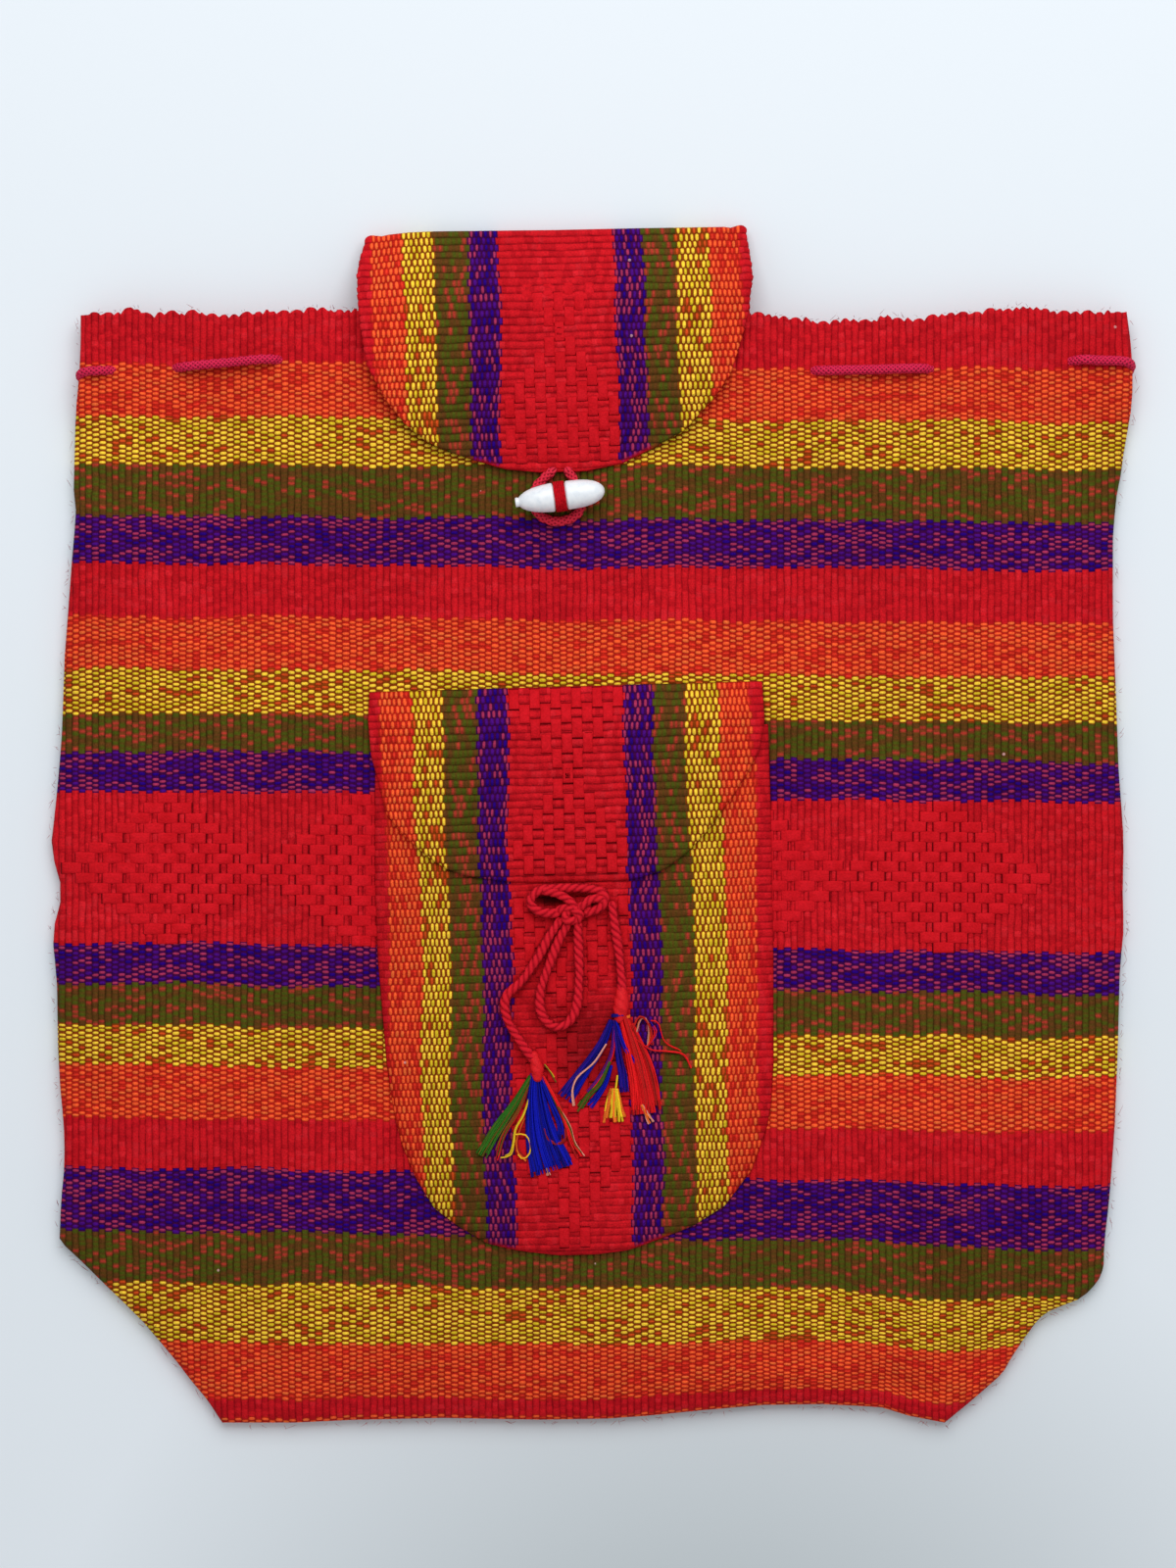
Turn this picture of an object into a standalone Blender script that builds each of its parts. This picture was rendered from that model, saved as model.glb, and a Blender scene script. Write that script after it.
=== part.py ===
"""A hand-woven, striped cotton backpack, lying flat on its back.

X runs across the bag, +Y towards its mouth and +Z up from the surface that it lies on.
Sizes are in metres. Every piece is built in the bag's own coordinates, whose origin is
the middle of the mouth, and hangs under one empty that centres the whole bag.
"""

import math

import bmesh
import bpy
from mathutils import Vector
from mathutils.geometry import intersect_point_line

# Cloth and clearances
CLOTH = 0.0020  # thickness of the ribbed cloth
GAP = 0.0003  # clearance between pieces that touch
RELIEF = 0.0004  # how far the woven diamonds stand out of the body's cloth
SMALLEST_EDGE = 0.0009  # shorter edges are closed up where stripes cross the outline

# Body: one length of cloth, folded at the bottom and sewn at the sides
BODY_WIDTH = 0.3780
CAVITY = 0.0050  # room between front and back
SIDE_HEIGHT = 0.0030  # height of a side seam, between the middles of its two cloths
FRONT_SLOPE = 0.0400  # how far in from the seams the front reaches its full height
BACK_SLOPE = 0.0240  # how far in from the seams the back reaches its full height
EDGE_REST = 0.0005  # how far the seams' undersides stand off the surface
CORNER_LIFT_END = 0.0450  # below the mouth, where the raised upper corners end
LEFT_CORNER = (0.0547, 0.0655)  # width and height of the boxed lower corner
RIGHT_CORNER = (0.0615, 0.0555)
CORNER_SAG = 0.0040  # how far the middle of a corner seam falls inwards
STRIPE_TILT = 0.0035  # how much lower the stripes run at the right seam
OUTLINE_STEP = 0.0090  # spacing of the points along the seams

# Stripes of the body from the mouth down, as colour and height
BODY_STRIPES = (
    ("red", 0.0189),
    ("orange", 0.0193),
    ("yellow", 0.0180),
    ("green", 0.0184),
    ("purple", 0.0173),
    ("red", 0.0188),
    ("orange", 0.0181),
    ("yellow", 0.0147),
    ("green", 0.0145),
    ("purple", 0.0149),
    ("red", 0.0543),
    ("purple", 0.0149),
    ("green", 0.0149),
    ("yellow", 0.0144),
    ("orange", 0.0179),
    ("red", 0.0196),
    ("purple", 0.0210),
    ("green", 0.0177),
    ("yellow", 0.0217),
    ("orange", 0.0160),
    ("red", 0.0115),
)
DIAMOND_STRIPE = 10  # which of the stripes carries the diamonds

# The seams are uneven: distance below the mouth, and how far the seam bulges out there
LEFT_SEAM = (
    (0.0000, -0.0053),
    (0.0120, -0.0045),
    (0.0290, -0.0040),
    (0.0740, -0.0025),
    (0.1120, -0.0006),
    (0.1420, 0.0008),
    (0.1710, 0.0022),
    (0.1870, 0.0050),
    (0.2070, 0.0006),
    (0.2240, 0.0050),
    (0.2400, 0.0032),
    (0.2700, 0.0024),
    (0.2930, 0.0004),
    (0.3150, 0.0015),
)
RIGHT_SEAM = (
    (0.0000, 0.0025),
    (0.0090, 0.0034),
    (0.0270, 0.0033),
    (0.0380, 0.0029),
    (0.0560, 0.0001),
    (0.0950, -0.0027),
    (0.1120, -0.0027),
    (0.1450, -0.0010),
    (0.1870, 0.0008),
    (0.2270, 0.0008),
    (0.2590, -0.0013),
    (0.2900, -0.0027),
    (0.3290, -0.0052),
)
LEFT_CORNER_BULGE = 0.0027
RIGHT_CORNER_BULGE = -0.0062
BOTTOM_EDGE = (
    (-0.1115, -0.0005),
    (-0.0580, 0.0018),
    (0.0155, 0.0036),
    (0.0680, 0.0046),
    (0.1000, 0.0042),
    (0.1205, 0.0002),
)

# Woven diamonds
DIAMOND_PERIOD = 0.0691  # from one diamond to the next, along the stripe
DIAMOND_FIRST = -0.1518  # centre of the leftmost one on the body
DIAMOND_HEIGHT = 0.0510  # across the stripe
GRID_STEP = DIAMOND_PERIOD / 4  # between the body's columns

# Drawstring, threaded below the mouth
CORD = 0.0036
CORD_GAP = 0.0006  # between the cord and the cloth beside it
HOLE_CLEARANCE = 0.0003  # how much wider than the cord its holes are
CORD_DROP = 0.0195  # below the mouth, at the front
CORD_BACK_DROP = 0.0275  # below the mouth, behind the front's run
CORD_NOTCH = 0.0050  # how far the cord pulls a side seam in
CORD_NOTCH_HEIGHT = 0.0085
CORD_WRAP = 0.0030  # how far past a seam the cord's middle turns
KNOT_SIZE = (0.0110, 0.0090, 0.0052)

# Straps, under the back
STRAP_WIDTH = 0.0420
STRAP_THICKNESS = 0.0036
STRAP_SPREAD = 0.0520  # between the straps' upper ends, middle to middle
STRAP_FOOT = (0.1340, 0.3120)  # from the middle, and below the mouth
STRAP_BOW = 0.0160

# Cloth turned a quarter turn, for flap and pocket: half of its stripes, middle to edge
HALF_MIDDLE = 0.0203
TURNED_STRIPES = (
    ("purple", 0.0109),
    ("green", 0.0114),
    ("yellow", 0.0115),
    ("orange", 0.0106),
)
ROUNDNESS = 2.4  # exponent of the rounded ends
ROUND_STEPS = 12

# Main flap
FLAP_WIDTH = 0.1390
FLAP_LENGTH = 0.0840  # from crease to tip
FLAP_STRAIGHT = 0.0220  # how far its sides run straight from the crease
FLAP_RISE = 0.0285  # how far the crease stands above the mouth
FLAP_SEAM_DROP = 0.0330  # how far below the mouth it is sewn to the back
FLAP_MIDDLE = -0.0133  # across the bag
FLAP_TURN = math.radians(1.8)
FLAP_FOLD = 0.0018  # radius of the crease
FLAP_DIAMOND_TIP = 0.0357  # from the crease to where two diamonds meet
FLAP_ROWS = 0.0070

# Pocket
POCKET_DROP = 0.1333  # below the mouth
POCKET_MIDDLE = -0.0100
POCKET_TURN = math.radians(1.6)
POUCH_WIDTH = 0.1400
POUCH_LENGTH = 0.2020
POUCH_STRAIGHT = 0.1200
POUCH_MOUTH = 0.0154  # below the flap's seam
POUCH_ROOM = 0.0045  # how far the pouch's middle rises above its seam
POUCH_SLOPE = 0.0250
POUCH_DIAMOND_TIP = 0.1848
POUCH_ROWS = 0.0200
POCKET_FLAP_WIDTH = 0.1390
POCKET_FLAP_LENGTH = 0.0698
POCKET_FLAP_STRAIGHT = 0.0200
POCKET_FLAP_DIAMOND_TIP = 0.0315
POCKET_FLAP_ROWS = 0.0070

# Toggle, and the loop that it holds
TOGGLE_LENGTH = 0.0320
TOGGLE_RADIUS = 0.00515
TOGGLE_WAIST = 0.0042  # radius under the tape
TOGGLE_NIPPLE = 0.0010
TOGGLE_BELOW_FLAP = 0.0105
TOGGLE_ASIDE = -0.0016
TOGGLE_TURN = math.radians(8)
TAPE_WIDTH = 0.0040
TAPE_THICKNESS = 0.0009
SHANK_THICKNESS = 0.0016
LOOP_CORD = 0.0031
LOOP_INSET = 0.0011  # from the flap's tip to the loop's ends

# Yarn tie on the pocket flap
YARN = 0.0030
TIE_KNOT_SIZE = (0.0075, 0.0052, 0.0044)
TASSEL_HEAD = 0.0026
TASSEL_HEIGHT = 0.0056
LEFT_TASSEL = (0.0380, 0.0380)  # spread and length
RIGHT_TASSEL = (0.0400, 0.0370)

ROUND_SIDES = 20
CORD_STEP = 2.6  # spacing of a cord's points, in its own diameters

BODY_HEIGHT = sum(height for _, height in BODY_STRIPES)
BACK_LIFT = max(STRAP_THICKNESS + GAP, CORD + CORD_GAP)
BACK_MIDDLE = BACK_LIFT + CLOTH / 2
FRONT_MIDDLE = BACK_MIDDLE + CAVITY + CLOTH
FRONT_TOP = FRONT_MIDDLE + CLOTH / 2
POUCH_SEAT = FRONT_TOP + RELIEF + GAP + CLOTH / 2
POUCH_TOP = POUCH_SEAT + POUCH_ROOM + CLOTH / 2

SCREEN_COLOURS = {
    "red": (200, 28, 38),
    "orange": (240, 80, 38),
    "yellow": (228, 185, 28),
    "green": (80, 84, 22),
    "purple": (52, 12, 118),
    "pink": (205, 50, 95),
    "white": (225, 230, 236),
    "yarn": (205, 30, 40),
    "blue": (30, 40, 170),
    "strap": (150, 22, 32),
}


def linear(channel):
    """An 8-bit screen value as linear light."""
    value = channel / 255
    return value / 12.92 if value <= 0.04045 else ((value + 0.055) / 1.055) ** 2.4


def make_material(name, roughness=0.9):
    material = bpy.data.materials.new(name)
    material.use_nodes = True
    shader = material.node_tree.nodes["Principled BSDF"]
    shader.inputs["Base Color"].default_value = (*map(linear, SCREEN_COLOURS[name]), 1)
    shader.inputs["Roughness"].default_value = roughness
    shader.inputs["Metallic"].default_value = 0
    return material


def clear_scene():
    for obj in list(bpy.data.objects):
        bpy.data.objects.remove(obj)


def add_object(name, data, parent, materials, location=(0, 0, 0), turn=0.0):
    obj = bpy.data.objects.new(name, data)
    for material in materials:
        obj.data.materials.append(material)
    obj.location = location
    obj.rotation_euler.z = turn
    obj.parent = parent
    bpy.context.scene.collection.objects.link(obj)
    return obj


def add_mesh(name, shape, parent, materials, location=(0, 0, 0), turn=0.0):
    mesh = bpy.data.meshes.new(name)
    shape.to_mesh(mesh)
    shape.free()
    return add_object(name, mesh, parent, materials, location, turn)


def add_empty(name, parent, location, turn=0.0):
    empty = bpy.data.objects.new(name, None)
    empty.location = location
    empty.rotation_euler.z = turn
    empty.parent = parent
    bpy.context.scene.collection.objects.link(empty)
    return empty


def eased(share):
    """Rises from 0 to 1, steep at first and level at the end."""
    share = min(max(share, 0.0), 1.0)
    return 1 - (1 - share) ** 2


def blended(share):
    """Rises from 0 to 1, level at both ends."""
    share = min(max(share, 0.0), 1.0)
    return share * share * (3 - 2 * share)


def smooth_route(points, step):
    """Points every step along a smooth curve through the given points."""
    points = [Vector(point) for point in points]
    count = len(points)
    dense = []
    for i in range(count - 1):
        start, end = points[i], points[i + 1]
        before = points[max(i - 1, 0)]
        after = points[min(i + 2, count - 1)]
        span = (end - start).length
        leave = (end - before).normalized() * span
        arrive = (after - start).normalized() * span
        for k in range(24):
            t = k / 24
            dense.append(
                start * (2 * t**3 - 3 * t**2 + 1)
                + leave * (t**3 - 2 * t**2 + t)
                + end * (3 * t**2 - 2 * t**3)
                + arrive * (t**3 - t**2)
            )
    dense.append(points[-1])
    return resampled(dense, step)


def resampled(dense, step):
    """The same line with evenly spaced points."""
    lengths = [0.0]
    for a, b in zip(dense, dense[1:]):
        lengths.append(lengths[-1] + (b - a).length)
    count = max(int(round(lengths[-1] / step)), 2)
    found = []
    place = 0
    for k in range(count + 1):
        target = lengths[-1] * k / count
        while place < len(dense) - 2 and lengths[place + 1] < target:
            place += 1
        run = lengths[place + 1] - lengths[place]
        found.append(dense[place].lerp(dense[place + 1], (target - lengths[place]) / run))
    return found


def seam_point(side, drop, bulge):
    return (side * (BODY_WIDTH / 2 + bulge - CLOTH / 2), -drop)


def pulled_in(seam, drop):
    """The seam's points with a notch where the cord is tied round it."""
    bulge = next(b for d, b in reversed(seam) if d <= drop)
    notch = (
        (drop - CORD_NOTCH_HEIGHT, bulge),
        (drop - CORD_NOTCH_HEIGHT / 3, bulge - CORD_NOTCH),
        (drop + CORD_NOTCH_HEIGHT / 3, bulge - CORD_NOTCH),
        (drop + CORD_NOTCH_HEIGHT, bulge),
    )
    kept = [p for p in seam if abs(p[0] - drop) > CORD_NOTCH_HEIGHT + 0.001]
    return sorted([*kept, *notch])


def body_outline():
    """The middle of the cloth at the seams and the bottom fold, counter-clockwise."""
    wrap = (CORD_DROP + CORD_BACK_DROP) / 2
    bottom = -BODY_HEIGHT + CLOTH / 2
    left = [seam_point(-1, *p) for p in pulled_in(LEFT_SEAM, wrap)]
    right = [seam_point(1, *p) for p in pulled_in(RIGHT_SEAM, wrap)]
    left.append(seam_point(-1, BODY_HEIGHT - LEFT_CORNER[1], LEFT_CORNER_BULGE))
    right.append(seam_point(1, BODY_HEIGHT - RIGHT_CORNER[1], RIGHT_CORNER_BULGE))
    left_foot = (-BODY_WIDTH / 2 + LEFT_CORNER[0], bottom)
    right_foot = (BODY_WIDTH / 2 - RIGHT_CORNER[0], bottom)
    edge = [left_foot, *((x, bottom + rise) for x, rise in BOTTOM_EDGE), right_foot]
    return (
        softened(left)
        + sagging(left[-1], left_foot)
        + softened(edge)
        + sagging(right_foot, right[-1])
        + softened(right[::-1])
    )


def softened(points):
    """The same stretch of outline as a smooth line."""
    route = smooth_route([(x, y, 0) for x, y in points], OUTLINE_STEP)
    return [(point.x, point.y) for point in route]


def sagging(start, end):
    """Points between two corners of the outline, pulled towards the bag's middle."""
    start, end = Vector(start), Vector(end)
    along = end - start
    inwards = Vector((-along.y, along.x)).normalized()
    found = []
    for share in (0.25, 0.5, 0.75):
        depth = CORNER_SAG * 4 * share * (1 - share)
        found.append(tuple(start.lerp(end, share) + inwards * depth))
    return found


def distance_to(outline, x, y):
    """How far a point lies from an open outline."""
    point = Vector((x, y, 0))
    best = math.inf
    for a, b in zip(outline, outline[1:]):
        start, end = Vector((*a, 0)), Vector((*b, 0))
        nearest, share = intersect_point_line(point, start, end)
        nearest = start if share < 0 else end if share > 1 else nearest
        best = min(best, (nearest - point).length)
    return best


def corner_lift(y):
    """1 at the mouth, where the cord lies under the seams, and 0 lower down."""
    return blended((CORNER_LIFT_END + y) / (CORNER_LIFT_END - CORD_BACK_DROP))


def back_height(seams, x, y):
    """Middle of the back's cloth above the surface that the bag lies on."""
    raised = max(eased(distance_to(seams, x, y) / BACK_SLOPE), corner_lift(y))
    return CLOTH / 2 + EDGE_REST + (BACK_LIFT - EDGE_REST) * raised


def front_height(seams, x, y):
    """Middle of the front's cloth."""
    distance = distance_to(seams, x, y)
    low = CLOTH / 2 + EDGE_REST + (BACK_LIFT - EDGE_REST) * corner_lift(y)
    edge = low + SIDE_HEIGHT
    return edge + (FRONT_MIDDLE - edge) * eased(distance / FRONT_SLOPE)


def cut(sheet, point, direction, inside=None):
    """Cuts the sheet's faces along a straight line."""
    faces = [f for f in sheet.faces if not inside or inside(f.calc_center_median())]
    edges = {edge for face in faces for edge in face.edges}
    corners = {corner for face in faces for corner in face.verts}
    normal = Vector((-direction[1], direction[0], 0))
    bmesh.ops.bisect_plane(
        sheet,
        geom=[*corners, *edges, *faces],
        dist=1e-6,
        plane_co=(*point, 0),
        plane_no=normal,
    )


def flat_sheet(outline, columns, rows, row_direction, slants, stripe_of):
    """A flat sheet inside the outline, cut along its stripes and diamonds."""
    sheet = bmesh.new()
    sheet.faces.new([sheet.verts.new((*point, 0)) for point in outline])
    for x in columns:
        cut(sheet, (x, 0), (0, 1))
    for y in rows:
        cut(sheet, (0, y), row_direction)
    for point, direction, inside in slants:
        cut(sheet, point, direction, inside)
    bmesh.ops.remove_doubles(sheet, verts=sheet.verts, dist=SMALLEST_EDGE)
    for face in sheet.faces:
        face.material_index = stripe_of(face.calc_center_median())
    bmesh.ops.triangulate(sheet, faces=sheet.faces)
    return sheet


def thicken(obj, depth):
    cloth = obj.modifiers.new("cloth", "SOLIDIFY")
    cloth.thickness = depth
    cloth.offset = 0
    cloth.use_even_offset = True
    cloth.use_quality_normals = True


def cut_holes(obj, cutter):
    holes = obj.modifiers.new("holes", "BOOLEAN")
    holes.operation = "DIFFERENCE"
    holes.solver = "EXACT"
    holes.object = cutter


def stripe_edges():
    """Distances below the mouth where one stripe of the body meets the next."""
    edges = []
    drop = 0.0
    for _, height in BODY_STRIPES[:-1]:
        drop += height
        edges.append(drop)
    return edges


def body_stripe(centre):
    drop = -centre.y - STRIPE_TILT * (centre.x / BODY_WIDTH + 0.5)
    return sum(drop > edge for edge in stripe_edges())


def diamond_band():
    """Top, middle and bottom of the stripe with the diamonds, below the mouth."""
    edges = stripe_edges()
    top, bottom = edges[DIAMOND_STRIPE - 1], edges[DIAMOND_STRIPE]
    return top, (top + bottom) / 2, bottom


def body_grid():
    """Columns a quarter of a diamond apart, rows at the stripes' edges."""
    first = int((-BODY_WIDTH / 2 - DIAMOND_FIRST) / GRID_STEP) - 1
    columns = [DIAMOND_FIRST + GRID_STEP * k for k in range(first, first + 28)]
    columns = [x for x in columns if abs(x) < (BODY_WIDTH - GRID_STEP) / 2]
    middle = diamond_band()[1]
    quarter = DIAMOND_HEIGHT / 4
    rows = [*stripe_edges(), middle - quarter, middle, middle + quarter]
    return columns, [-(drop + STRIPE_TILT / 2) for drop in rows]


def body_slants():
    """Lines along the diamonds' sides, in their own stripe."""
    top, middle, bottom = diamond_band()
    y = -(middle + STRIPE_TILT / 2)

    def in_band(centre):
        return top < -centre.y - STRIPE_TILT * (centre.x / BODY_WIDTH + 0.5) < bottom

    slants = []
    for k in range(-1, 6):
        tip = (DIAMOND_FIRST + DIAMOND_PERIOD * (k + 0.5), y)
        slants.append((tip, (DIAMOND_PERIOD, DIAMOND_HEIGHT), in_band))
        slants.append((tip, (DIAMOND_PERIOD, -DIAMOND_HEIGHT), in_band))
    return slants


def diamond_relief(x, y):
    """How far the front stands out at a diamond."""
    middle = -(diamond_band()[1] + STRIPE_TILT / 2)
    across = abs((x - DIAMOND_FIRST + DIAMOND_PERIOD / 2) % DIAMOND_PERIOD - DIAMOND_PERIOD / 2)
    up = abs(y - middle)
    return RELIEF * max(0.0, 1 - across / (DIAMOND_PERIOD / 2) - up / (DIAMOND_HEIGHT / 2))


def body_shape(seams):
    """Front and back sheets, joined at the seams and at the bottom fold."""
    columns, rows = body_grid()
    direction = (BODY_WIDTH, -STRIPE_TILT)
    sheet = flat_sheet(seams, columns, rows, direction, body_slants(), body_stripe)
    shell = bmesh.new()
    front, back = {}, {}
    for corner in sheet.verts:
        x, y = corner.co.x, corner.co.y
        top = front_height(seams, x, y) + diamond_relief(x, y)
        front[corner] = shell.verts.new((x, y, top))
        back[corner] = shell.verts.new((x, y, back_height(seams, x, y)))
    for face in sheet.faces:
        shell.faces.new([front[v] for v in face.verts]).material_index = face.material_index
        shell.faces.new([back[v] for v in reversed(face.verts)]).material_index = (
            face.material_index
        )
        for loop in face.loops:
            a, b = loop.vert, loop.link_loop_next.vert
            if not loop.edge.is_boundary or (a.co.y > -1e-5 and b.co.y > -1e-5):
                continue
            side = shell.faces.new((back[a], back[b], front[b], front[a]))
            side.material_index = face.material_index
    sheet.free()
    return shell


def make_body(parent, paints, seams, cutter):
    paint = [paints[colour] for colour, _ in BODY_STRIPES]
    body = add_mesh("bag_body", body_shape(seams), parent, paint)
    thicken(body, CLOTH)
    cut_holes(body, cutter)
    return body


def drawstring_route(seams):
    """Out at the front and the back, in between the holes, and round both seams."""
    outside = FRONT_TOP + CORD_GAP + CORD / 2
    inside = BACK_LIFT + CLOTH + CAVITY / 2
    behind = CORD / 2
    front_y, back_y = -CORD_DROP, -CORD_BACK_DROP
    knot = KNOT_SIZE[0] / 2 + CORD_GAP
    left = -BODY_WIDTH / 2
    right = BODY_WIDTH / 2

    def on_front(x, y):
        slope = front_height(seams, x, y) - FRONT_MIDDLE
        return (x, y, outside + slope)

    points = smooth_route(
        (
            (FLAP_MIDDLE - knot, front_y, outside),
            (left + 0.1390, front_y, outside),
            (left + 0.1040, front_y + 0.0005, inside),
            (left + 0.0910, front_y + 0.0010, inside),
            (left + 0.0750, front_y + 0.0020, outside),
            (left + 0.0590, front_y + 0.0018, outside),
            (left + 0.0430, front_y + 0.0008, outside),
            (left + 0.0300, front_y - 0.0004, inside),
            on_front(left + 0.0200, front_y - 0.0018),
            on_front(left + 0.0130, front_y - 0.0022),
            *wrap_points(seams, -1, front_y - 0.0024, back_y + 0.0010),
            (left + 0.0150, back_y, behind),
            (left + 0.0270, back_y, behind),
            (left + 0.0380, back_y, inside),
            (left + 0.0460, back_y, behind),
            (left + 0.0730, back_y, behind),
            (left + 0.0870, back_y, inside),
            (0.0000, back_y, inside),
            (right - 0.1210, back_y, inside),
            (right - 0.1070, back_y, behind),
            (right - 0.0730, back_y, behind),
            (right - 0.0590, back_y, inside),
            (right - 0.0520, back_y, inside),
            (right - 0.0340, back_y, behind),
            (right - 0.0150, back_y, behind),
            *wrap_points(seams, 1, front_y + 0.0010, back_y + 0.0010)[::-1],
            on_front(right - 0.0100, front_y + 0.0022),
            on_front(right - 0.0190, front_y + 0.0026),
            (right - 0.0330, front_y + 0.0020, inside),
            (right - 0.0520, front_y + 0.0000, inside),
            (right - 0.0700, front_y - 0.0008, outside),
            (right - 0.0900, front_y - 0.0010, outside),
            (right - 0.1090, front_y - 0.0008, outside),
            (right - 0.1270, front_y - 0.0004, inside),
            (0.0440, front_y, inside),
            (0.0260, front_y, outside),
            (FLAP_MIDDLE + knot, front_y, outside),
        ),
        CORD * CORD_STEP,
    )
    for point in points:
        point.z = max(point.z, behind)
    return points


def wrap_points(seams, side, front_y, back_y):
    """Round one seam, from the front to the back."""
    middle_y = (front_y + back_y) / 2
    seam = max(side * x for x, y in seams if abs(y - middle_y) < CORD_NOTCH_HEIGHT / 2)
    seam -= CORD_WRAP / 3
    reach = CLOTH / 2 + SIDE_HEIGHT / 2 + CORD_GAP + CORD / 2
    height = CORD / 2 + reach
    found = []
    for degrees in (70, 35, 0, -35, -70):
        angle = math.radians(degrees)
        share = (90 - degrees) / 180
        found.append(
            (
                side * (seam + (CORD_WRAP + CORD / 2) * math.cos(angle)),
                front_y + (back_y - front_y) * share,
                height + reach * math.sin(angle),
            )
        )
    return found


def make_tube(name, points, diameter, parent, material):
    curve = bpy.data.curves.new(name, "CURVE")
    curve.dimensions = "3D"
    curve.bevel_depth = diameter / 2
    curve.bevel_resolution = 2
    curve.use_fill_caps = True
    spline = curve.splines.new("POLY")
    spline.points.add(len(points) - 1)
    for target, point in zip(spline.points, points):
        target.co = (*point, 1)
        target.radius = 1
    return add_object(name, curve, parent, [material] if material else [])


def make_cutter(name, points, diameter, parent):
    """A hidden mesh tube, for cutting a cord's holes."""
    guide = make_tube(name + "_guide", points, diameter, parent, None)
    mesh = bpy.data.meshes.new_from_object(guide)
    bpy.data.objects.remove(guide)
    shape = bmesh.new()
    shape.from_mesh(mesh)
    bmesh.ops.remove_doubles(shape, verts=shape.verts, dist=1e-6)
    bmesh.ops.recalc_face_normals(shape, faces=shape.faces)
    cutter = add_mesh(name, shape, parent, [])
    cutter.hide_render = True
    cutter.display_type = "WIRE"
    return cutter


def squashed_ball(size):
    shape = bmesh.new()
    bmesh.ops.create_uvsphere(shape, u_segments=16, v_segments=8, radius=0.5)
    for corner in shape.verts:
        for axis in range(3):
            corner.co[axis] *= size[axis]
    return shape


def make_drawstring(parent, paints, points):
    make_tube("drawstring", points, CORD, parent, paints["pink"])
    place = (FLAP_MIDDLE, -CORD_DROP, FRONT_TOP + GAP + KNOT_SIZE[2] / 2)
    add_mesh("drawstring_knot", squashed_ball(KNOT_SIZE), parent, [paints["pink"]], place)


def tongue(width, straight, length):
    """The two sides of a strip's round end, left one downwards and right one upwards."""
    half = width / 2
    power = 2 / ROUNDNESS
    quarter = []
    for k in range(ROUND_STEPS + 1):
        angle = math.pi / 2 * k / ROUND_STEPS
        x = half * math.cos(angle) ** power if k < ROUND_STEPS else 0.0
        quarter.append((x, -straight - (length - straight) * math.sin(angle) ** power))
    left = [(-x, y) for x, y in quarter]
    right = quarter[:-1][::-1]
    return left, right


def turned_columns():
    """The edges between the stripes of the turned cloth, and its middle."""
    x = HALF_MIDDLE
    columns = [0.0, -x, x]
    for _, width in TURNED_STRIPES:
        x += width
        columns += [-x, x]
    return columns


def turned_colours():
    return ["red", *(colour for colour, _ in TURNED_STRIPES), "red"]


def turned_stripe(centre):
    edges = sorted(x for x in turned_columns() if x > 0)
    return sum(abs(centre.x) > edge for edge in edges)


def turned_slants(tips):
    """Lines along the diamonds' sides in the middle stripe."""

    def in_middle(centre):
        return abs(centre.x) < HALF_MIDDLE

    slants = []
    for tip in tips:
        slants.append(((0, -tip), (2 * HALF_MIDDLE, DIAMOND_PERIOD), in_middle))
        slants.append(((0, -tip), (-2 * HALF_MIDDLE, DIAMOND_PERIOD), in_middle))
    return slants


def turned_sheet(outline, rows, tips):
    return flat_sheet(
        outline, turned_columns(), rows, (1, 0), turned_slants(tips), turned_stripe
    )


def evenly(start, end, step):
    """Values strictly between two ends, at about the given step."""
    count = max(int(round(abs(end - start) / step)), 1)
    return [start + (end - start) * k / count for k in range(1, count)]


def flap_profile():
    """The main flap's cloth seen from the side, from its seam over the crease."""
    low = BACK_LIFT - GAP - CLOTH / 2
    fold_y = -CLOTH / 2 - FLAP_FOLD
    fold_z = low + FLAP_FOLD
    mouth = -FLAP_RISE
    rest = FRONT_TOP + GAP + CLOTH / 2
    points = [Vector((0, mouth - FLAP_SEAM_DROP, low)), Vector((0, mouth, low))]
    for k in range(9):
        angle = -math.pi / 2 + math.pi * k / 8
        points.append(
            Vector((0, fold_y + FLAP_FOLD * math.cos(angle), fold_z + FLAP_FOLD * math.sin(angle)))
        )
    top = fold_z + FLAP_FOLD
    for share in (0.15, 0.3, 0.45, 0.6, 0.75, 0.9, 1.0):
        y = fold_y + (mouth + CLOTH - fold_y) * share
        points.append(Vector((0, y, top + (rest - top) * blended(share) ** 0.8)))
    return points


def flap_dome(x, y):
    """How far the knot and the cord under the flap push it up."""
    height = KNOT_SIZE[2] + GAP
    away = y + FLAP_RISE + CORD_DROP
    reach = (FLAP_LENGTH - FLAP_RISE - CORD_DROP) if away < 0 else FLAP_RISE + CORD_DROP
    along = max(0.0, 1 - (away / reach) ** 2) ** 1.5
    fall = 0.20 if x < 0 else 0.75
    return height * along * (1 - fall * (x / (FLAP_WIDTH / 2)) ** 2)


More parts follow.
